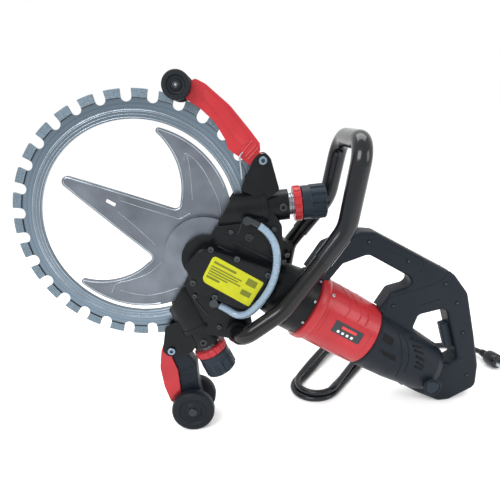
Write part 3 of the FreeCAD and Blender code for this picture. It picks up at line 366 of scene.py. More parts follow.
def build_finishes():
    tint = colours()
    made = {
        "ring_steel": turned_steel("ring_steel", tint.steel),
        "segment_grit": gritty("segment_grit", (0.135, 0.178, 0.215)),
        "plate_alloy": cast_plate("plate_alloy", tint.alloy),
        "bead_polish": metal("bead_polish", (0.33, 0.37, 0.41), 0.30),
        "casting_enamel": enamel("casting_enamel", tint.casting, 0.36),
        "rib_enamel": enamel("rib_enamel", (0.008, 0.010, 0.012), 0.28, 0.3),
        "bright_steel": metal("bright_steel", (0.42, 0.45, 0.49), 0.28),
        "hinge_steel": metal("hinge_steel", (0.20, 0.27, 0.34), 0.32),
        "black_steel": metal("black_steel", (0.05, 0.055, 0.06), 0.34),
        "laminated_iron": metal("laminated_iron", (0.24, 0.22, 0.20), 0.45),
        "red_plastic": moulded("red_plastic", tint.red, 0.36, coat=0.25, edge=1.35),
        "knob_plastic": moulded("knob_plastic", (0.012, 0.019, 0.028), 0.38),
        "handle_plastic": moulded("handle_plastic", tint.handle, 0.44, 0.0002, 1100.0),
        "tyre_rubber": moulded("tyre_rubber", tint.rubber, 0.50, 0.0002, 700.0, edge=2.2),
        "belt_rubber": moulded("belt_rubber", (0.02, 0.02, 0.02), 0.6),
        "carbon": moulded("carbon", (0.03, 0.03, 0.03), 0.7),
        "grip_rubber": moulded("grip_rubber", (0.0038, 0.0052, 0.0070), 0.18, 0.0001, 260.0, 0.4),
        "tube_paint": moulded("tube_paint", (0.0035, 0.0036, 0.0040), 0.20, 0.0001, 300.0, 0.3),
        "cord_rubber": moulded("cord_rubber", (0.0062, 0.0082, 0.0110), 0.24, 0.0001, 400.0, 0.3),
        "hose_clear": milky("hose_clear", tint.hose),
        "label_film": printed("label_film", tint.label, 0.35),
        "label_ink": printed("label_ink", (0.13, 0.14, 0.015)),
        "badge_film": printed("badge_film", (0.035, 0.040, 0.045), 0.3),
        "badge_ink": printed("badge_ink", (0.75, 0.75, 0.75)),
        "badge_red": printed("badge_red", (0.55, 0.05, 0.05)),
        # Near-black painted shade for the insides of screw wells and vent slots, not a colour of
        # the saw.
        "painted_recess_shade": printed("painted_recess_shade", (0.003, 0.003, 0.004), 0.6),
        "braze_dark": metal("braze_dark", (0.045, 0.045, 0.05), 0.5),
    }
    MADE.update(made)
    for finish, names in NODE_FINISH.items():
        for name in names:
            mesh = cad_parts[name].data
            mesh.materials.clear()
            mesh.materials.append(made[finish])


# ---------------------------------------------------------------- makers

def piece(name, bm, finish, body, place=SAW, crease=32.0):
    """Turn a drawn shape into a piece that rides on a body."""
    bmesh.ops.remove_doubles(bm, verts=bm.verts, dist=0.0004)
    bmesh.ops.recalc_face_normals(bm, faces=bm.faces)
    mesh = bpy.data.meshes.new(name)
    bm.to_mesh(mesh)
    bm.free()
    mesh.transform(place)
    mesh.shade_smooth()
    mesh.set_sharp_from_angle(angle=math.radians(crease))
    made = bpy.data.objects.new(name, mesh)
    bpy.context.scene.collection.objects.link(made)
    mesh.materials.append(MADE[finish])
    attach(made, body)
    return made


def rounded(points, steps=5):
    """Points (u, v[, corner radius]) with their corners rounded."""
    run = []
    count = len(points)
    for index, point in enumerate(points):
        spot = Vector(point[:2])
        radius = point[2] if len(point) > 2 else 0.0
        if not radius:
            run.append(spot)
            continue
        back = (Vector(points[index - 1][:2]) - spot).normalized()
        ahead = (Vector(points[(index + 1) % count][:2]) - spot).normalized()
        half = back.angle(ahead) / 2
        centre = spot + (back + ahead).normalized() * radius / math.sin(half)
        first = spot + back * radius / math.tan(half) - centre
        last = spot + ahead * radius / math.tan(half) - centre
        sweep = first.angle_signed(last)
        for step in range(steps + 1):
            turn = Matrix.Rotation(-sweep * step / steps, 2)
            run.append(centre + turn @ first)
    return run


def three_point_arc(start, middle, end, steps=16):
    """Points along the arc through three points."""
    a, b, c = Vector(start), Vector(middle), Vector(end)
    d = 2 * (a.x * (b.y - c.y) + b.x * (c.y - a.y) + c.x * (a.y - b.y))
    if abs(d) < 1e-6:
        return [a.lerp(c, i / steps) for i in range(steps + 1)]
    sq = [p.length_squared for p in (a, b, c)]
    centre = Vector(((sq[0] * (b.y - c.y) + sq[1] * (c.y - a.y) + sq[2] * (a.y - b.y)) / d,
                     (sq[0] * (c.x - b.x) + sq[1] * (a.x - c.x) + sq[2] * (b.x - a.x)) / d))
    angles = [math.atan2(p.y - centre.y, p.x - centre.x) for p in (a, b, c)]
    full = (angles[2] - angles[0]) % math.tau
    part = (angles[1] - angles[0]) % math.tau
    if part > full:
        full -= math.tau
    radius = (a - centre).length
    return [centre + radius * Vector((math.cos(angles[0] + full * i / steps),
                                      math.sin(angles[0] + full * i / steps)))
            for i in range(steps + 1)]


def drawn_in(loop, depth):
    """A closed loop moved `depth` to its left, which is inwards if it runs anticlockwise."""
    moved = []
    count = len(loop)
    for index, spot in enumerate(loop):
        way = (loop[(index + 1) % count] - loop[index - 1]).normalized()
        moved.append(spot + Vector((-way.y, way.x)) * depth)
    return moved


def prism(bm, loop, near, far, soft=0.0):
    """Extrude a loop of (u, v) points from y = near to y = far, the far edge softened."""
    rings = [[bm.verts.new((p[0], y, p[1])) for p in loop] for y in (near, far)]
    count = len(loop)
    for index in range(count):
        after = (index + 1) % count
        bm.faces.new((rings[0][index], rings[0][after], rings[1][after], rings[1][index]))
    bm.faces.new(rings[0])
    bm.faces.new(rings[1])
    if soft:
        top = set(rings[1])
        edges = [e for e in bm.edges if e.verts[0] in top and e.verts[1] in top]
        bmesh.ops.bevel(bm, geom=edges, offset=soft, segments=3, profile=0.5, affect="EDGES")


def tube(bm, points, radius, closed=False):
    """A round bead along 3D points."""
    sides = 10
    spots = [Vector(p) for p in points]
    count = len(spots)
    side = None
    rings = []
    for index, spot in enumerate(spots):
        before = spots[index - 1] if index or closed else spot
        after = spots[(index + 1) % count] if index < count - 1 or closed else spot
        way = (after - before).normalized()
        if side is None:
            side = way.orthogonal().normalized()
        side = (side - way * side.dot(way)).normalized()
        other = way.cross(side)
        rings.append([bm.verts.new(spot + radius * (math.cos(math.tau * k / sides) * side
                                                    + math.sin(math.tau * k / sides) * other))
                      for k in range(sides)])
    for index in range(count if closed else count - 1):
        low, high = rings[index], rings[(index + 1) % count]
        shift = 0
        if closed and index == count - 1:
            shift = min(range(sides), key=lambda k: (low[0].co - high[k].co).length)
        for k in range(sides):
            bm.faces.new((low[k], low[(k + 1) % sides], high[(k + 1 + shift) % sides],
                          high[(k + shift) % sides]))
    if not closed:
        bm.faces.new(rings[0])
        bm.faces.new(rings[-1])


def lathe(bm, profile, spin, steps=48):
    """Turn (radius, along) points about the z axis of the matrix `spin`."""
    rings = []
    for radius, along in profile:
        if radius < 0.001:
            rings.append([bm.verts.new(spin @ Vector((0, 0, along)))])
        else:
            rings.append([bm.verts.new(spin @ Vector((radius * math.cos(math.tau * k / steps),
                                                      radius * math.sin(math.tau * k / steps),
                                                      along))) for k in range(steps)])
    for low, high in zip(rings, rings[1:]):
        for k in range(steps):
            after = (k + 1) % steps
            corners = [low[k % len(low)], low[after % len(low)], high[after % len(high)],
                       high[k % len(high)]]
            unique = list(dict.fromkeys(corners))
            if len(unique) > 2:
                bm.faces.new(unique)


def across(u, v, y=0.0, facing=-1):
    """A matrix whose z axis points out of the saw's left (-1) or right (+1) side."""
    return Matrix.Translation((u, y, v)) @ Matrix.Rotation(math.radians(90 * -facing), 4, "X")


def along_motor():
    """A matrix whose z axis is the motor's own axis."""
    return Matrix.Translation((0, 0, MOTOR_RISE)) @ Matrix.Rotation(math.radians(90), 4, "Y")


def along_guide(side):
    """A matrix whose z axis runs outwards along the upper (+1) or lower (-1) guide."""
    return Matrix.Rotation(math.radians(90) - side * GUIDE_ANGLE, 4, "Y")


def on_barrel(u, v, lift, radius, facing=-1):
    """A point on a barrel about the motor's axis, seen from one side."""
    reach = radius + lift
    rise = max(-reach * 0.999, min(reach * 0.999, v - MOTOR_RISE))
    return Vector((u, facing * math.sqrt(reach * reach - rise * rise), v))


def barrel_radius(_u):
    """Outside radius of the red motor housing, the same all along."""
    return BARREL_RADIUS


def drum_radius(u):
    """Outside radius of the rear housing at a distance along the motor."""
    if u < 430:
        return 48.0 - 2.0 * (u - 379) / 51
    return 46.0 - 6.0 * (u - 430) / 58


def barrel_patch(bm, corners, lift, depth, radius_at, facing=-1, steps=6):
    """A four-cornered patch that follows a barrel, with walls down to `depth` under it."""
    a, b, c, d = [Vector(p) for p in corners]
    grids = []
    for level in (lift, lift - depth):
        grid = []
        for i in range(steps + 1):
            low, high = a.lerp(b, i / steps), d.lerp(c, i / steps)
            row = []
            for j in range(steps + 1):
                spot = low.lerp(high, j / steps)
                row.append(bm.verts.new(on_barrel(spot.x, spot.y, level, radius_at(spot.x),
                                                  facing)))
            grid.append(row)
        grids.append(grid)
    for grid in grids:
        for i in range(steps):
            for j in range(steps):
                bm.faces.new((grid[i][j], grid[i + 1][j], grid[i + 1][j + 1], grid[i][j + 1]))
    top, low = grids
    rim_top = ([top[i][0] for i in range(steps)] + [top[steps][j] for j in range(steps)]
               + [top[i][steps] for i in range(steps, 0, -1)]
               + [top[0][j] for j in range(steps, 0, -1)])
    rim_low = ([low[i][0] for i in range(steps)] + [low[steps][j] for j in range(steps)]
               + [low[i][steps] for i in range(steps, 0, -1)]
               + [low[0][j] for j in range(steps, 0, -1)])
    for k in range(len(rim_top)):
        after = (k + 1) % len(rim_top)
        bm.faces.new((rim_top[k], rim_top[after], rim_low[after], rim_low[k]))


def socket_screw(bm, spin, radius, height):
    """A cap screw with a hexagon socket, standing on the matrix's plane."""
    steps, sides = 36, 6
    key = radius * 0.50
    profile = [(radius, -0.6), (radius, height - 0.5), (radius - 0.5, height)]
    lathe(bm, profile, spin, steps)
    outer = [bm.verts.new(spin @ Vector(((radius - 0.5) * math.cos(math.tau * k / steps),
                                         (radius - 0.5) * math.sin(math.tau * k / steps),
                                         height))) for k in range(steps)]
    levels = []
    for drop in (0.0, radius * 0.55):
        ring = []
        for k in range(steps):
            angle = math.tau * k / steps
            local = (angle % (math.tau / sides)) - math.pi / sides
            reach = key * math.cos(math.pi / sides) / math.cos(local)
            ring.append(bm.verts.new(spin @ Vector((reach * math.cos(angle),
                                                    reach * math.sin(angle), height - drop))))
        levels.append(ring)
    for k in range(steps):
        after = (k + 1) % steps
        bm.faces.new((outer[k], outer[after], levels[0][after], levels[0][k]))
        bm.faces.new((levels[0][k], levels[0][after], levels[1][after], levels[1][k]))
    bm.faces.new(levels[1])


def boss(bm, spin, radius, height, bore):
    """A round boss with a rounded rim and a counterbore."""
    lathe(bm, [(radius + 0.8, -0.4), (radius, 0.4), (radius, height - 0.6),
               (radius - 0.6, height), (bore + 0.4, height), (bore, height - 0.4),
               (bore, height - 2.0), (0.0, height - 2.0)], spin, 36)


def sweep_line(bm, run, y, radius, closed=False):
    """A bead along (u, v) points on a side face."""
    tube(bm, [(p[0], y, p[1]) for p in run], radius, closed)


# ---------------------------------------------------------------- camera, floor and light

class RINGSAW_OT_camera(bpy.types.Operator):
    """Stand the camera in front of the saw's left side"""
    bl_idname = "ring_saw.camera"
    bl_label = "Camera"

    def execute(self, context):
        size = sizes()
        data = bpy.data.cameras.new("saw_camera")
        data.sensor_width = 36.0
        data.lens = size.camera_lens
        data.clip_start = 0.01
        data.clip_end = 60.0
        camera = bpy.data.objects.new("saw_camera", data)
        context.scene.collection.objects.link(camera)
        place, target = Vector(size.camera_place), Vector(size.camera_target)
        back = (place - target).normalized()
        right = Vector(size.camera_up).cross(back).normalized()
        up = back.cross(right)
        turn = Matrix((right, up, back)).transposed().to_4x4()
        camera.matrix_world = Matrix.Translation(place) @ turn
        context.scene.camera = camera
        return {"FINISHED"}


CORD_LIE = 5.0
LEAD_ROUTE = [
    (278.5, 48.0, 32.9), (278.5, 66.0, 31.5), (277.0, 84.0, 25.0), (270.0, 101.0, 13.5),
    (255.0, 117.0, CORD_LIE), (233.0, 128.0, CORD_LIE), (209.0, 129.0, CORD_LIE),
    (187.0, 115.0, CORD_LIE),
]
TAIL_ROUTE = [
    (178.0, 171.0, 17.0), (205.0, 170.0, 9.0), (232.0, 164.0, CORD_LIE),
    (262.0, 154.5, CORD_LIE), (292.0, 147.5, CORD_LIE), (320.0, 143.5, CORD_LIE),
    (345.0, 141.0, CORD_LIE), (368.0, 132.0, 6.5), (386.0, 113.0, 10.5), (394.0, 88.0, 13.2),
]
HANK_MIDDLE = Vector((118.0, 92.0))
HANK_TURN = math.radians(50.0)
HANK_STRAIGHT = 53.0
# How the hank is wound: turns made, half width of the turn, height, twist in degrees.
HANK_LAY = [
    (0.00, 38.2, 5.0, 0.0), (0.66, 38.2, 5.0, 0.0), (0.98, 28.4, 5.0, 0.0),
    (1.50, 28.4, 5.0, 0.0), (1.70, 30.5, 14.4, 1.0), (2.05, 34.0, 14.8, 4.0),
    (2.40, 34.0, 14.8, 5.0), (2.60, 34.0, 20.5, 3.0), (2.75, 34.5, 24.3, 0.0),
    (3.00, 36.0, 24.3, 0.0),
]
HANK_POINTS = 39


def hank_state(turns):
    """Half width, height and twist of the hank after that many turns."""
    for low, high in zip(HANK_LAY, HANK_LAY[1:]):
        if low[0] <= turns <= high[0]:
            part = (turns - low[0]) / (high[0] - low[0])
            return [a + (b - a) * part for a, b in zip(low[1:], high[1:])]
    return HANK_LAY[-1][1:]


def hank_points():
    """Control points of the hank's turns: three along each side and four round each fold."""
    turn = []
    for end in (-1, 1):
        turn += [("side", end * step * 0.6 * HANK_STRAIGHT, end) for step in (-1, 0, 1)]
        turn += [("fold", 67.5 - 90 * (1 - end) - 45 * step, end) for step in range(4)]
    points = []
    for index in range(HANK_POINTS):
        width, height, twist = hank_state(index / len(turn))
        kind, amount, end = turn[index % len(turn)]
        if kind == "side":
            spot = Vector((amount, end * width))
        else:
            reach = width / math.cos(math.radians(22.5))
            spot = Vector((end * HANK_STRAIGHT + reach * math.cos(math.radians(amount)),
                           reach * math.sin(math.radians(amount))))
        spot = HANK_MIDDLE + Matrix.Rotation(HANK_TURN + math.radians(twist), 2) @ spot
        points.append((spot.x, spot.y, height))
    return points


def spline_piece(name, points, diameter, finish, body):
    """A cord or hose along one smooth spline, points in the row's metres."""
    curve = bpy.data.curves.new(name, "CURVE")
    curve.dimensions = "3D"
    spline = curve.splines.new("NURBS")
    spline.points.add(len(points) - 1)
    for control, spot in zip(spline.points, points):
        control.co = (*spot, 1.0)
    spline.order_u = 3
    spline.use_endpoint_u = True
    spline.resolution_u = 8
    curve.bevel_depth = diameter / 2
    curve.bevel_resolution = 5
    curve.use_fill_caps = True
    made = bpy.data.objects.new(name, curve)
    bpy.context.scene.collection.objects.link(made)
    curve.materials.append(MADE[finish])
    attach(made, body)
    return made


HOSE_ROUTE = [
    (146.0, -34.4, 80.5), (166.0, -37.4, 79.0), (186.0, -51.5, 60.0), (199.0, -52.0, 28.0),
    (200.0, -52.0, -2.0), (194.0, -51.5, -32.0), (183.0, -40.4, -47.0), (168.0, -34.4, -47.0),
    (154.0, -34.4, -47.0),
]
PLUG_PLACE = Vector((0.394, 0.088, 0.0132))
PLUG_HEADING = math.radians(-76.0)


class RINGSAW_OT_power_lead(bpy.types.Operator):
    """Lay the power lead: out of the handle, round its hank and on to the plug"""
    bl_idname = "ring_saw.power_lead"
    bl_label = "Power lead and plug"

    def execute(self, context):
        route = LEAD_ROUTE + hank_points() + TAIL_ROUTE
        lead = spline_piece("power_lead", [[n / 1000 for n in p] for p in route],
                            sizes().cord_diameter, "cord_rubber", "frame")
        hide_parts("power_cord", "cord_hank")

        stand = (Matrix.Translation(PLUG_PLACE) @ Matrix.Rotation(PLUG_HEADING, 4, "Z")
                 @ Matrix.Rotation(math.radians(90), 4, "Y") @ Matrix.Scale(0.001, 4))
        bm = bmesh.new()
        profile = [(0.0, -2.0), (5.2, -2.0), (6.0, -1.0)]
        for rib in range(4):
            start = 0.5 + rib * 2.9
            profile += [(6.3 + rib * 0.35, start), (6.3 + rib * 0.35, start + 1.5),
                        (5.7 + rib * 0.35, start + 1.7), (5.7 + rib * 0.35, start + 2.7)]
        profile += [(8.0, 12.6), (11.4, 14.4), (12.3, 16.5), (12.7, 24.0), (12.7, 33.0),
                    (12.2, 35.5), (10.8, 37.4), (9.8, 38.0), (0.0, 38.0)]
        lathe(bm, profile, Matrix(), 40)
        body = piece("plug_body", bm, "cord_rubber", "frame", stand, 40.0)
        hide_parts("plug")
        bm = bmesh.new()
        for side in (-1, 1):
            blade = rounded([(37.0, -3.15), (53.4, -3.15, 1.4), (53.4, 3.15, 1.4),
                             (37.0, 3.15)], 3)
            prism(bm, blade, side * 6.35 - 0.8, side * 6.35 + 0.8, 0.25)
        swap = Matrix(((0, 0, -1, 0), (0, 1, 0, 0), (1, 0, 0, 0), (0, 0, 0, 1)))
        pins = piece("plug_pins", bm, "bright_steel", "frame", stand @ swap)

        bm = bmesh.new()
        profile = [(4.9, 12.0), (6.8, 12.0), (6.8, 16.8), (9.3, 17.0), (9.5, 18.0), (9.5, 19.4),
                   (8.9, 20.2)]
        for rib in range(7):
            start, wall = 21.0 + rib * 3.7, 8.1 - rib * 0.24
            profile += [(wall, start), (wall + 0.2, start + 0.6), (wall, start + 2.0),
                        (wall - 0.9, start + 2.3), (wall - 0.9, start + 3.3)]
        profile += [(6.0, 47.4), (5.2, 48.0), (4.6, 48.0)]
        spin = Matrix.Translation((528.0, 0.0, 2.0)) @ Matrix.Rotation(math.radians(-90), 4, "X")
        lathe(bm, profile, spin, 36)
        boot = piece("cord_boot", bm, "cord_rubber", "frame")
        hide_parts("cord_gland")

        return {"FINISHED"}


class RINGSAW_OT_water_hose(bpy.types.Operator):
    """Run the clear water hose between its two elbows"""
    bl_idname = "ring_saw.water_hose"
    bl_label = "Water hose"

    def execute(self, context):
        route = [SAW @ Vector(p) for p in HOSE_ROUTE]
        hose = spline_piece("clear_hose", route, sizes().hose_diameter, "hose_clear", "frame")
        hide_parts("water_hose")
        return {"FINISHED"}


class RINGSAW_OT_stage(bpy.types.Operator):
    """Lay a plain pale floor and hang soft studio lights"""
    bl_idname = "ring_saw.stage"
    bl_label = "Floor and lights"

    def execute(self, context):
        scene = context.scene
        scene.view_settings.view_transform = "Standard"
        bm = bmesh.new()
        bmesh.ops.create_grid(bm, x_segments=8, y_segments=8, size=24.0)
        mesh = bpy.data.meshes.new("pale_floor")
        bm.to_mesh(mesh)
        bm.free()
        floor = bpy.data.objects.new("pale_floor", mesh)
        scene.collection.objects.link(floor)
        paper = Recipe("pale_paper", (0.92, 0.92, 0.92), 0.9)
        paper.tones(paper.noise(3.0), 0.99, 1.01)
        paper.set("Emission Color", (1.0, 1.0, 1.0, 1.0))
        paper.set("Emission Strength", 0.12)
        mesh.materials.append(paper.material)

        world = bpy.data.worlds.new("soft_room")
        scene.world = world
        world.use_nodes = True
        world.node_tree.nodes["Background"].inputs["Color"].default_value = (1.0, 1.0, 1.0, 1.0)
        world.node_tree.nodes["Background"].inputs["Strength"].default_value = 1.0
        for name, spot, aim, width, height, power in (
                ("key_softbox", (-0.9, -1.1, 1.5), (-0.05, 0.0, 0.25), 1.1, 0.8, 26.0),
                ("top_softbox", (0.2, 0.5, 1.9), (0.0, 0.0, 0.2), 1.8, 0.9, 22.0),
                ("fill_softbox", (1.5, -0.9, 0.8), (0.1, 0.0, 0.2), 0.8, 0.8, 8.0)):
            data = bpy.data.lights.new(name, "AREA")
            data.shape = "RECTANGLE"
            data.size = width
            data.size_y = height
            data.energy = power
            lamp = bpy.data.objects.new(name, data)
            scene.collection.objects.link(lamp)
            way = Vector(aim) - Vector(spot)
            lamp.matrix_world = (Matrix.Translation(spot)
                                 @ way.to_track_quat("-Z", "Y").to_matrix().to_4x4())
        return {"FINISHED"}


class RINGSAW_OT_finishes(bpy.types.Operator):
    """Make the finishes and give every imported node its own"""
    bl_idname = "ring_saw.finishes"
    bl_label = "Finishes"

    def execute(self, context):
        build_finishes()
        return {"FINISHED"}


# ---------------------------------------------------------------- detail

def smooth(points):
    """A smooth run through points of any dimension."""
    steps = 5
    spots = [Vector(p) for p in points]
    run = []
    for index in range(len(spots) - 1):
        a = spots[max(index - 1, 0)]
        b, c = spots[index], spots[index + 1]
        d = spots[min(index + 2, len(spots) - 1)]
        for step in range(steps):
            t = step / steps
            run.append(0.5 * (2 * b + (c - a) * t + (2 * a - 5 * b + 4 * c - d) * t * t
                              + (3 * b - a - 3 * c + d) * t ** 3))
    return run + [spots[-1]]


def arc_run(centre, radius, start, end, steps=48):
    """Points (u, v) round a centre, from one angle to another in degrees."""
    sweep = [math.radians(start + (end - start) * k / steps) for k in range(steps + 1)]
    return [Vector((centre[0] + radius * math.cos(t), centre[1] + radius * math.sin(t)))
            for t in sweep]


def circle(bm, centre, radius, y, thick, steps=120):
    """A closed round bead on a side face."""
    sweep_line(bm, arc_run(centre, radius, 0, 360, steps)[:-1], y, thick, True)


def outward(u, angle, radius):
    """A matrix on a barrel about the motor axis, its z axis pointing straight out."""
    return (Matrix.Translation((u, 0, MOTOR_RISE))
            @ Matrix.Rotation(math.radians(angle), 4, "X") @ Matrix.Translation((0, 0, radius)))


def barrel_bead(bm, run, thick, radius_at, facing=-1):
    """A bead along (u, v) points that follows a barrel."""
    tube(bm, [on_barrel(p[0], p[1], 0.1, radius_at(p[0]), facing) for p in run], thick)


class RINGSAW_OT_cutting_ring(bpy.types.Operator):
    """Turned lines and brazed seams of the cutting ring"""
    bl_idname = "ring_saw.cutting_ring"
    bl_label = "Cutting ring"

    def execute(self, context):
        lines = bmesh.new()
        seams = bmesh.new()
        for facing in (-1, 1):
            for radius, thick in ((138.6, 0.7), (142.6, 0.4), (146.4, 0.4), (148.4, 0.7)):
                circle(lines, (0, 0), radius, facing * 2.55, thick, 180)
            for index in range(SEGMENTS):
                start = FIRST_GAP + SEGMENT_PITCH * index
                sweep_line(seams, arc_run((0, 0), 163.2, start + 2.7, start + 9.3, 5),
                           facing * RING_FACE, 0.55)
        piece("ring_turned_lines", lines, "bead_polish", "ring")
        piece("ring_braze_seams", seams, "braze_dark", "ring")
        return {"FINISHED"}


def plate_edge(sign):
    """The rim of the upper (+1) or lower (-1) half of the centre plate, tip to middle."""
    run = arc_run((0, 0), 130.0, 48, 104, 24)
    run += three_point_arc((-31.4, 126.1), (-35.2, 122.4), (-31.0, 118.0), 6)[1:]
    run += three_point_arc((-31.0, 118.0), (15.0, 90.0), (37.5, 51.0), 24)[1:]
    run += three_point_arc((37.5, 51.0), (38.8, 42.5), (33.0, 37.8), 6)[1:]
    run += three_point_arc((33.0, 37.8), (-30.0, 25.0), (-112.0, 7.5), 20)[1:]
    run += three_point_arc((-112.0, 7.5), (-115.5, 4.6), (-117.0, 0.0), 5)[1:]
    return [Vector((p.x, p.y * sign)) for p in run]


PLATE_STROKES = [
    [(16, 104), (13, 113), (19, 109), (29, 96), (44, 73), (51, 61)],
    [(14, 114), (29, 112), (49, 103), (68, 90), (85, 77), (95, 63)],
    [(-36, 12), (-8, 17), (20, 23), (41, 27), (48, 29), (57, 43)],
    [(-32, -4), (-11, -9), (15, -16), (34, -22)],
    [(20, -109), (42, -104), (62, -95), (79, -80), (93, -65)],
    [(11, -119), (11, -103), (26, -88), (42, -70), (50, -54), (54, -40)],
]


class RINGSAW_OT_plate(bpy.types.Operator):
    """Raised rims and strokes of the centre plate"""
    bl_idname = "ring_saw.plate"
    bl_label = "Centre plate"

    def execute(self, context):
        rims = bmesh.new()
        strokes = bmesh.new()
        for facing in (-1, 1):
            for sign in (-1, 1):
                edge = drawn_in(plate_edge(sign), 2.2 * sign)[1:-1]
                sweep_line(rims, edge, facing * 2.3, sizes().edge_bead * 850)
            for stroke in PLATE_STROKES:
                sweep_line(strokes, smooth(stroke), facing * 2.4, 0.55)
        piece("plate_rims", rims, "bead_polish", "frame")
        piece("plate_strokes", strokes, "bead_polish", "frame")
        return {"FINISHED"}


CASTING_RIBS = [
    [(112, 25), (194, 28)], [(120, 40), (194, 43)], [(111, 47), (163, 48)],
    [(170, 48), (191, 47)], [(128, 53), (125, 72)], [(118, -60), (150, -74)],
]
CASTING_SCREWS = [(118, 52), (168, 84), (118, -56), (172, -82), (203, 61), (204, 50)]
COVER_BOLTS = [(104, 22.5), (141, 28), (105, -31), (141, -35), (189, 28.4)]
HANDLE_SCREWS = [(296, 133), (362, 137), (430, 135), (382, 69), (463, 119), (500, 84),
                 (550, 29)]


class RINGSAW_OT_castings(bpy.types.Operator):
    """Ribs, bosses and screws of the castings, the cover and the handle"""
    bl_idname = "ring_saw.castings"
    bl_label = "Castings and screws"

    def execute(self, context):
        ribs = bmesh.new()
        screws = bmesh.new()
        painted_hole_shade = bmesh.new()
        for facing in (-1, 1):
            for rib in CASTING_RIBS:
                sweep_line(ribs, rib, facing * CASTING_FACE, 1.5)
            boss(ribs, across(144, 57, facing * CASTING_FACE, facing), 6.0, 2.4, 3.0)
            for u, v in CASTING_SCREWS:
                socket_screw(screws, across(u, v, facing * CASTING_FACE, facing), 3.6, 3.0)
            for u, v in HANDLE_SCREWS:
                # Dark discs round the handle screws: painted shade standing for the deep screw
                # holes.
                lathe(painted_hole_shade, [(0.0, 0.35), (3.3, 0.35), (3.7, -0.3)],
                      across(u, v, facing * HANDLE_FACE, facing), 32)
                lathe(screws, [(1.9, 0.3), (1.9, 0.7), (1.5, 0.9), (0.0, 0.9)],
                      across(u, v, facing * HANDLE_FACE, facing), 20)
            for side in (-1, 1):
                neck = along_guide(side) @ Vector((0, 0, 201))
                socket_screw(screws, across(neck.x, neck.z, facing * 21.0, facing), 5.6, 2.4)
        for u, v in COVER_BOLTS:
            socket_screw(screws, across(u, v, COVER_FACE), 4.2, 2.8)
        piece("casting_ribs", ribs, "rib_enamel", "frame")
        piece("handle_screw_well_shade", painted_hole_shade, "painted_recess_shade", "frame")
        made = piece("screw_heads", screws, "black_steel", "frame")
        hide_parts("case_screws")
        return {"FINISHED"}


LABEL_BARS = [
    (116, 8, 34, 3.2), (116, 2.2, 46, 2.0), (116, -1.6, 42, 2.0), (116, -5.4, 48, 2.0),
    (116, -9.2, 30, 2.0), (116, -14.5, 20, 3.2), (168, 2, 15, 10.0), (168, -14, 15, 8.0),
]


class RINGSAW_OT_label(bpy.types.Operator):
    """The yellow plate on the drive cover, with plain bars for print"""
    bl_idname = "ring_saw.label"
    bl_label = "Cover label"

    def execute(self, context):
        film = bmesh.new()
        prism(film, rounded([(111, 17, 5), (113, -23, 9), (189, -25, 2.5), (190, 16, 2.5)]),
              -44.9, -45.5)
        piece("cover_label", film, "label_film", "frame")
        ink = bmesh.new()
        for u, v, wide, high in LABEL_BARS:
            prism(ink, [Vector(p) for p in ((u, v), (u + wide, v), (u + wide, v + high),
                                            (u, v + high))], -45.4, -45.65)
        piece("cover_label_bars", ink, "label_ink", "frame")
        return {"FINISHED"}


GUARD_PANEL = [(0, 199.5), (0, 188), (20, 182), (43, 173), (63, 163), (76, 160), (82, 170),
               (74, 176), (37, 191.5)]
GUARD_STEPS = [[(91, 148), (95, 168)], [(86, 149), (91, 170)], [(80, 152), (84, 173)]]
LEG_BARS = [[(155, -185), (170, -167)], [(160, -194), (176, -176)], [(164, -204), (186, -184)]]


class RINGSAW_OT_guard(bpy.types.Operator):
    """Raised panel and steps of the guard, bars of the leg, and the hinge screws"""
    bl_idname = "ring_saw.guard"
    bl_label = "Guard and leg"

    def execute(self, context):
        panel = bmesh.new()
        steps = bmesh.new()
        bars = bmesh.new()
        hinges = bmesh.new()
        for facing in (-1, 1):
            prism(panel, [Vector(p) for p in GUARD_PANEL], facing * 13.6,
                  facing * (13.8 + sizes().panel_rise * 1000), 0.5)
            for run in GUARD_STEPS:
                sweep_line(steps, run, facing * GUARD_FACE, 1.1)
            for run in LEG_BARS:
                sweep_line(bars, run, facing * 11.0, 1.1)
            for u, v in (GUARD_HINGE, LEG_HINGE):
                socket_screw(hinges, across(u, v, facing * 20.6, facing), 5.6, 2.6)
        piece("guard_panel", panel, "red_plastic", "guard")
        piece("guard_steps", steps, "red_plastic", "guard")
        piece("leg_bars", bars, "handle_plastic", "leg")
        piece("hinge_screws", hinges, "hinge_steel", "frame")
        return {"FINISHED"}


def wheel_pair(name, centre, radius, bore, near, far, node, body):
    """A pair of round-shouldered wheels with dished outer faces."""
    tyres = bmesh.new()
    caps = bmesh.new()
    for facing in (-1, 1):
        spin = across(centre[0], centre[1], 0, facing)
        shoulder = radius * 0.09
        lathe(tyres, [
            (bore, near), (radius - shoulder, near),
            (radius - shoulder * 0.3, near + shoulder * 0.4),
            (radius, near + shoulder * 1.3), (radius, far - shoulder * 1.5),
            (radius - shoulder * 0.3, far - shoulder * 0.5), (radius - shoulder, far),
            (radius * 0.68, far), (radius * 0.60, far - 2.4), (radius * 0.42, far - 3.0),
            (radius * 0.34, far - 0.6), (bore, far - 0.6), (bore, near),
        ], spin, 64)
        socket_screw(caps, spin @ Matrix.Translation((0, 0, far - 0.4)), radius * 0.2, 1.6)
    made = piece(name, tyres, "tyre_rubber", body)
    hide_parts(node)
    piece(name + "_caps", caps, "black_steel", body)


class RINGSAW_OT_wheels(bpy.types.Operator):
    """The guard's small wheels and the leg's large ones"""
    bl_idname = "ring_saw.wheels"
    bl_label = "Wheels"

    def execute(self, context):
        wheel_pair("tip_tyres", (-33.5, 184.3), 18.5, 3.55, 15.0, 27.0, "tip_wheels",
                   "tip_pair")
        wheel_pair("leg_tyres", (204.0, -225.9), 33.0, 5.05, 13.0, 29.0, "leg_wheels",
                   "leg_pair")
        return {"FINISHED"}


MOTOR_WAVES = [
    [(303, 54), (316, 47), (320, 36), (316, 26)], [(320, 53), (332, 48), (339, 39), (337, 29)],
    [(336, 53), (347, 49), (352, 39), (350, 29)],
]


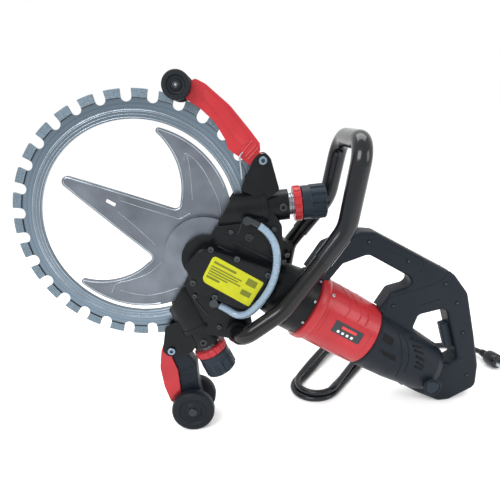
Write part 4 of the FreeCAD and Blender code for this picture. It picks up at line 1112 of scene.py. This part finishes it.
class RINGSAW_OT_motor(bpy.types.Operator):
    """Collar, waves, badge and pins of the motor housing"""
    bl_idname = "ring_saw.motor"
    bl_label = "Motor housing"

    def execute(self, context):
        shell = bmesh.new()
        lathe(shell, [(48.5, 270), (52.3, 271.5), (53.0, 275), (52.6, 281), (50.6, 285.5),
                      (48.5, 287)], along_motor(), 96)
        for facing in (-1, 1):
            for run in MOTOR_WAVES:
                barrel_bead(shell, smooth(run), 1.1, barrel_radius, facing)
            barrel_patch(shell, [(292, -10), (362, -10), (362, 25), (292, 25)], 1.1, 1.8,
                         barrel_radius, facing)
        piece("motor_collar_and_waves", shell, "red_plastic", "frame")
        badge = bmesh.new()
        barrel_patch(badge, [(307, 1), (353, 1), (353, 19), (307, 19)], 1.6, 1.0,
                     barrel_radius)
        piece("motor_badge", badge, "badge_film", "frame")
        marks = bmesh.new()
        for index in range(4):
            left = 315 + 7.5 * index
            barrel_patch(marks, [(left, 3.5), (left + 3.6, 3.5), (left + 3.6, 7.0), (left, 7.0)],
                         1.85, 0.5, barrel_radius, steps=2)
        piece("motor_badge_marks", marks, "badge_ink", "frame")
        bar = bmesh.new()
        barrel_patch(bar, [(319, 11), (343, 11), (343, 15), (319, 15)], 1.85, 0.5,
                     barrel_radius, steps=2)
        piece("motor_badge_bar", bar, "badge_red", "frame")
        pins = bmesh.new()
        for angle in (25, 65, 105, 145, 215, 255, 295, 335):
            socket_screw(pins, outward(266.5, angle, BARREL_RADIUS), 2.0, 2.0)
        socket_screw(pins, outward(290, 39, BARREL_RADIUS), 2.6, 1.8)
        piece("motor_pins", pins, "bright_steel", "frame")
        return {"FINISHED"}


DRUM_VENTS = [[(380, 33), (383, 22), (401, 21), (401, 31)],
              [(383, 11), (396, 3), (419, 3), (413, 11)]]
DRUM_LINES = [[(386, 50), (403, 43), (418, 24), (428, 8), (440, -20)],
              [(401, 48), (423, 35), (436, 15), (443, -5)]]
DRUM_LOUVRES = [[(429, 41), (444, 42)], [(434, 34), (450, 37)], [(439, 30), (455, 31)],
                [(445, 24), (461, 23)], [(450, 17), (464, 15)], [(451, 10), (464, 10)]]
HANDLE_LINES = [
    [(308, 138), (388, 141)], [(308, 146), (372, 149)],
    [(374, 150), (382, 147), (387, 139), (386, 132)],
    [(379, 54), (372, 69), (375, 81), (391, 99), (411, 121), (421, 135), (425, 154)],
    [(417, 88), (432, 105), (438, 112)], [(481, 21), (509, 21), (520, 38), (526, 50)],
]


class RINGSAW_OT_handle(bpy.types.Operator):
    """Vents, louvres and moulded lines of the rear housing and handle"""
    bl_idname = "ring_saw.handle"
    bl_label = "Rear housing and handle"

    def execute(self, context):
        lines = bmesh.new()
        painted_vent_shade = bmesh.new()
        for facing in (-1, 1):
            for run in HANDLE_LINES:
                sweep_line(lines, smooth(run), facing * 16.9, 0.8)
            for run in DRUM_LINES:
                barrel_bead(lines, smooth(run), 0.9, drum_radius, facing)
            # Louvre slots and vent openings are drawn as thin black beads and sheets: painted
            # shade for the dark inside of the openings.
            for run in DRUM_LOUVRES:
                barrel_bead(painted_vent_shade, run, 1.6, drum_radius, facing)
            for corners in DRUM_VENTS:
                barrel_patch(painted_vent_shade, corners, 0.35, 0.8, drum_radius, facing)
                rim = [Vector(p) for p in corners]
                barrel_bead(lines, rim + rim[:1], 0.7, drum_radius, facing)
        foot = bmesh.new()
        prism(foot, rounded([(443, -28, 2), (457, -34, 3), (472, -36, 3), (476, -26, 3),
                             (467, -16, 2)]), -15.0, 15.0)
        socket_screw(foot, across(463, -28, -15.0), 3.4, 1.2)
        dial = bmesh.new()
        lathe(dial, [(13.2, -0.4), (13.6, 0.6), (13.0, 1.2), (11.6, 1.2), (11.2, 0.2)],
              across(*DIAL, -46.0), 48)
        for spoke in range(5):
            turn = math.tau * spoke / 5
            sweep_line(dial, [(DIAL[0] + reach * math.cos(turn), DIAL[1] + reach * math.sin(turn))
                              for reach in (4.0, 11.5)], -46.2, 1.0)
        piece("dial_rim_and_spokes", dial, "handle_plastic", "dial")
        piece("housing_foot", foot, "handle_plastic", "frame")
        piece("handle_lines", lines, "handle_plastic", "frame")
        piece("drum_vent_shade", painted_vent_shade, "painted_recess_shade", "frame")
        return {"FINISHED"}


CLASSES_DETAIL = [
    RINGSAW_OT_cutting_ring, RINGSAW_OT_plate, RINGSAW_OT_castings, RINGSAW_OT_label,
    RINGSAW_OT_guard, RINGSAW_OT_wheels, RINGSAW_OT_motor, RINGSAW_OT_handle,
]
OPERATORS = [
    RINGSAW_OT_finishes, RINGSAW_OT_camera, RINGSAW_OT_power_lead, RINGSAW_OT_water_hose,
    *CLASSES_DETAIL, RINGSAW_OT_stage,
]


class RINGSAW_PT_panel(bpy.types.Panel):
    """Sidebar panel that lists the saw's operators and sizes"""
    bl_label = "Ring Saw"
    bl_idname = "RINGSAW_PT_panel"
    bl_space_type = "VIEW_3D"
    bl_region_type = "UI"
    bl_category = "Ring Saw"

    def draw(self, context):
        for operator in OPERATORS:
            self.layout.operator(operator.bl_idname)
        for group in (context.scene.ring_saw_sizes, context.scene.ring_saw_colours):
            for name in group.bl_rna.properties.keys():
                if name not in ("rna_type", "name"):
                    self.layout.prop(group, name)


CLASSES = [SawSizes, SawColours, *OPERATORS, RINGSAW_PT_panel]


def register():
    for item in CLASSES:
        bpy.utils.register_class(item)
    bpy.types.Scene.ring_saw_sizes = bpy.props.PointerProperty(type=SawSizes)
    bpy.types.Scene.ring_saw_colours = bpy.props.PointerProperty(type=SawColours)


def unregister():
    del bpy.types.Scene.ring_saw_colours
    del bpy.types.Scene.ring_saw_sizes
    for item in reversed(CLASSES):
        bpy.utils.unregister_class(item)


def main():
    register()
    for operator in OPERATORS:
        group, name = operator.bl_idname.split(".")
        getattr(getattr(bpy.ops, group), name)()


if __name__ == "__main__":
    main()
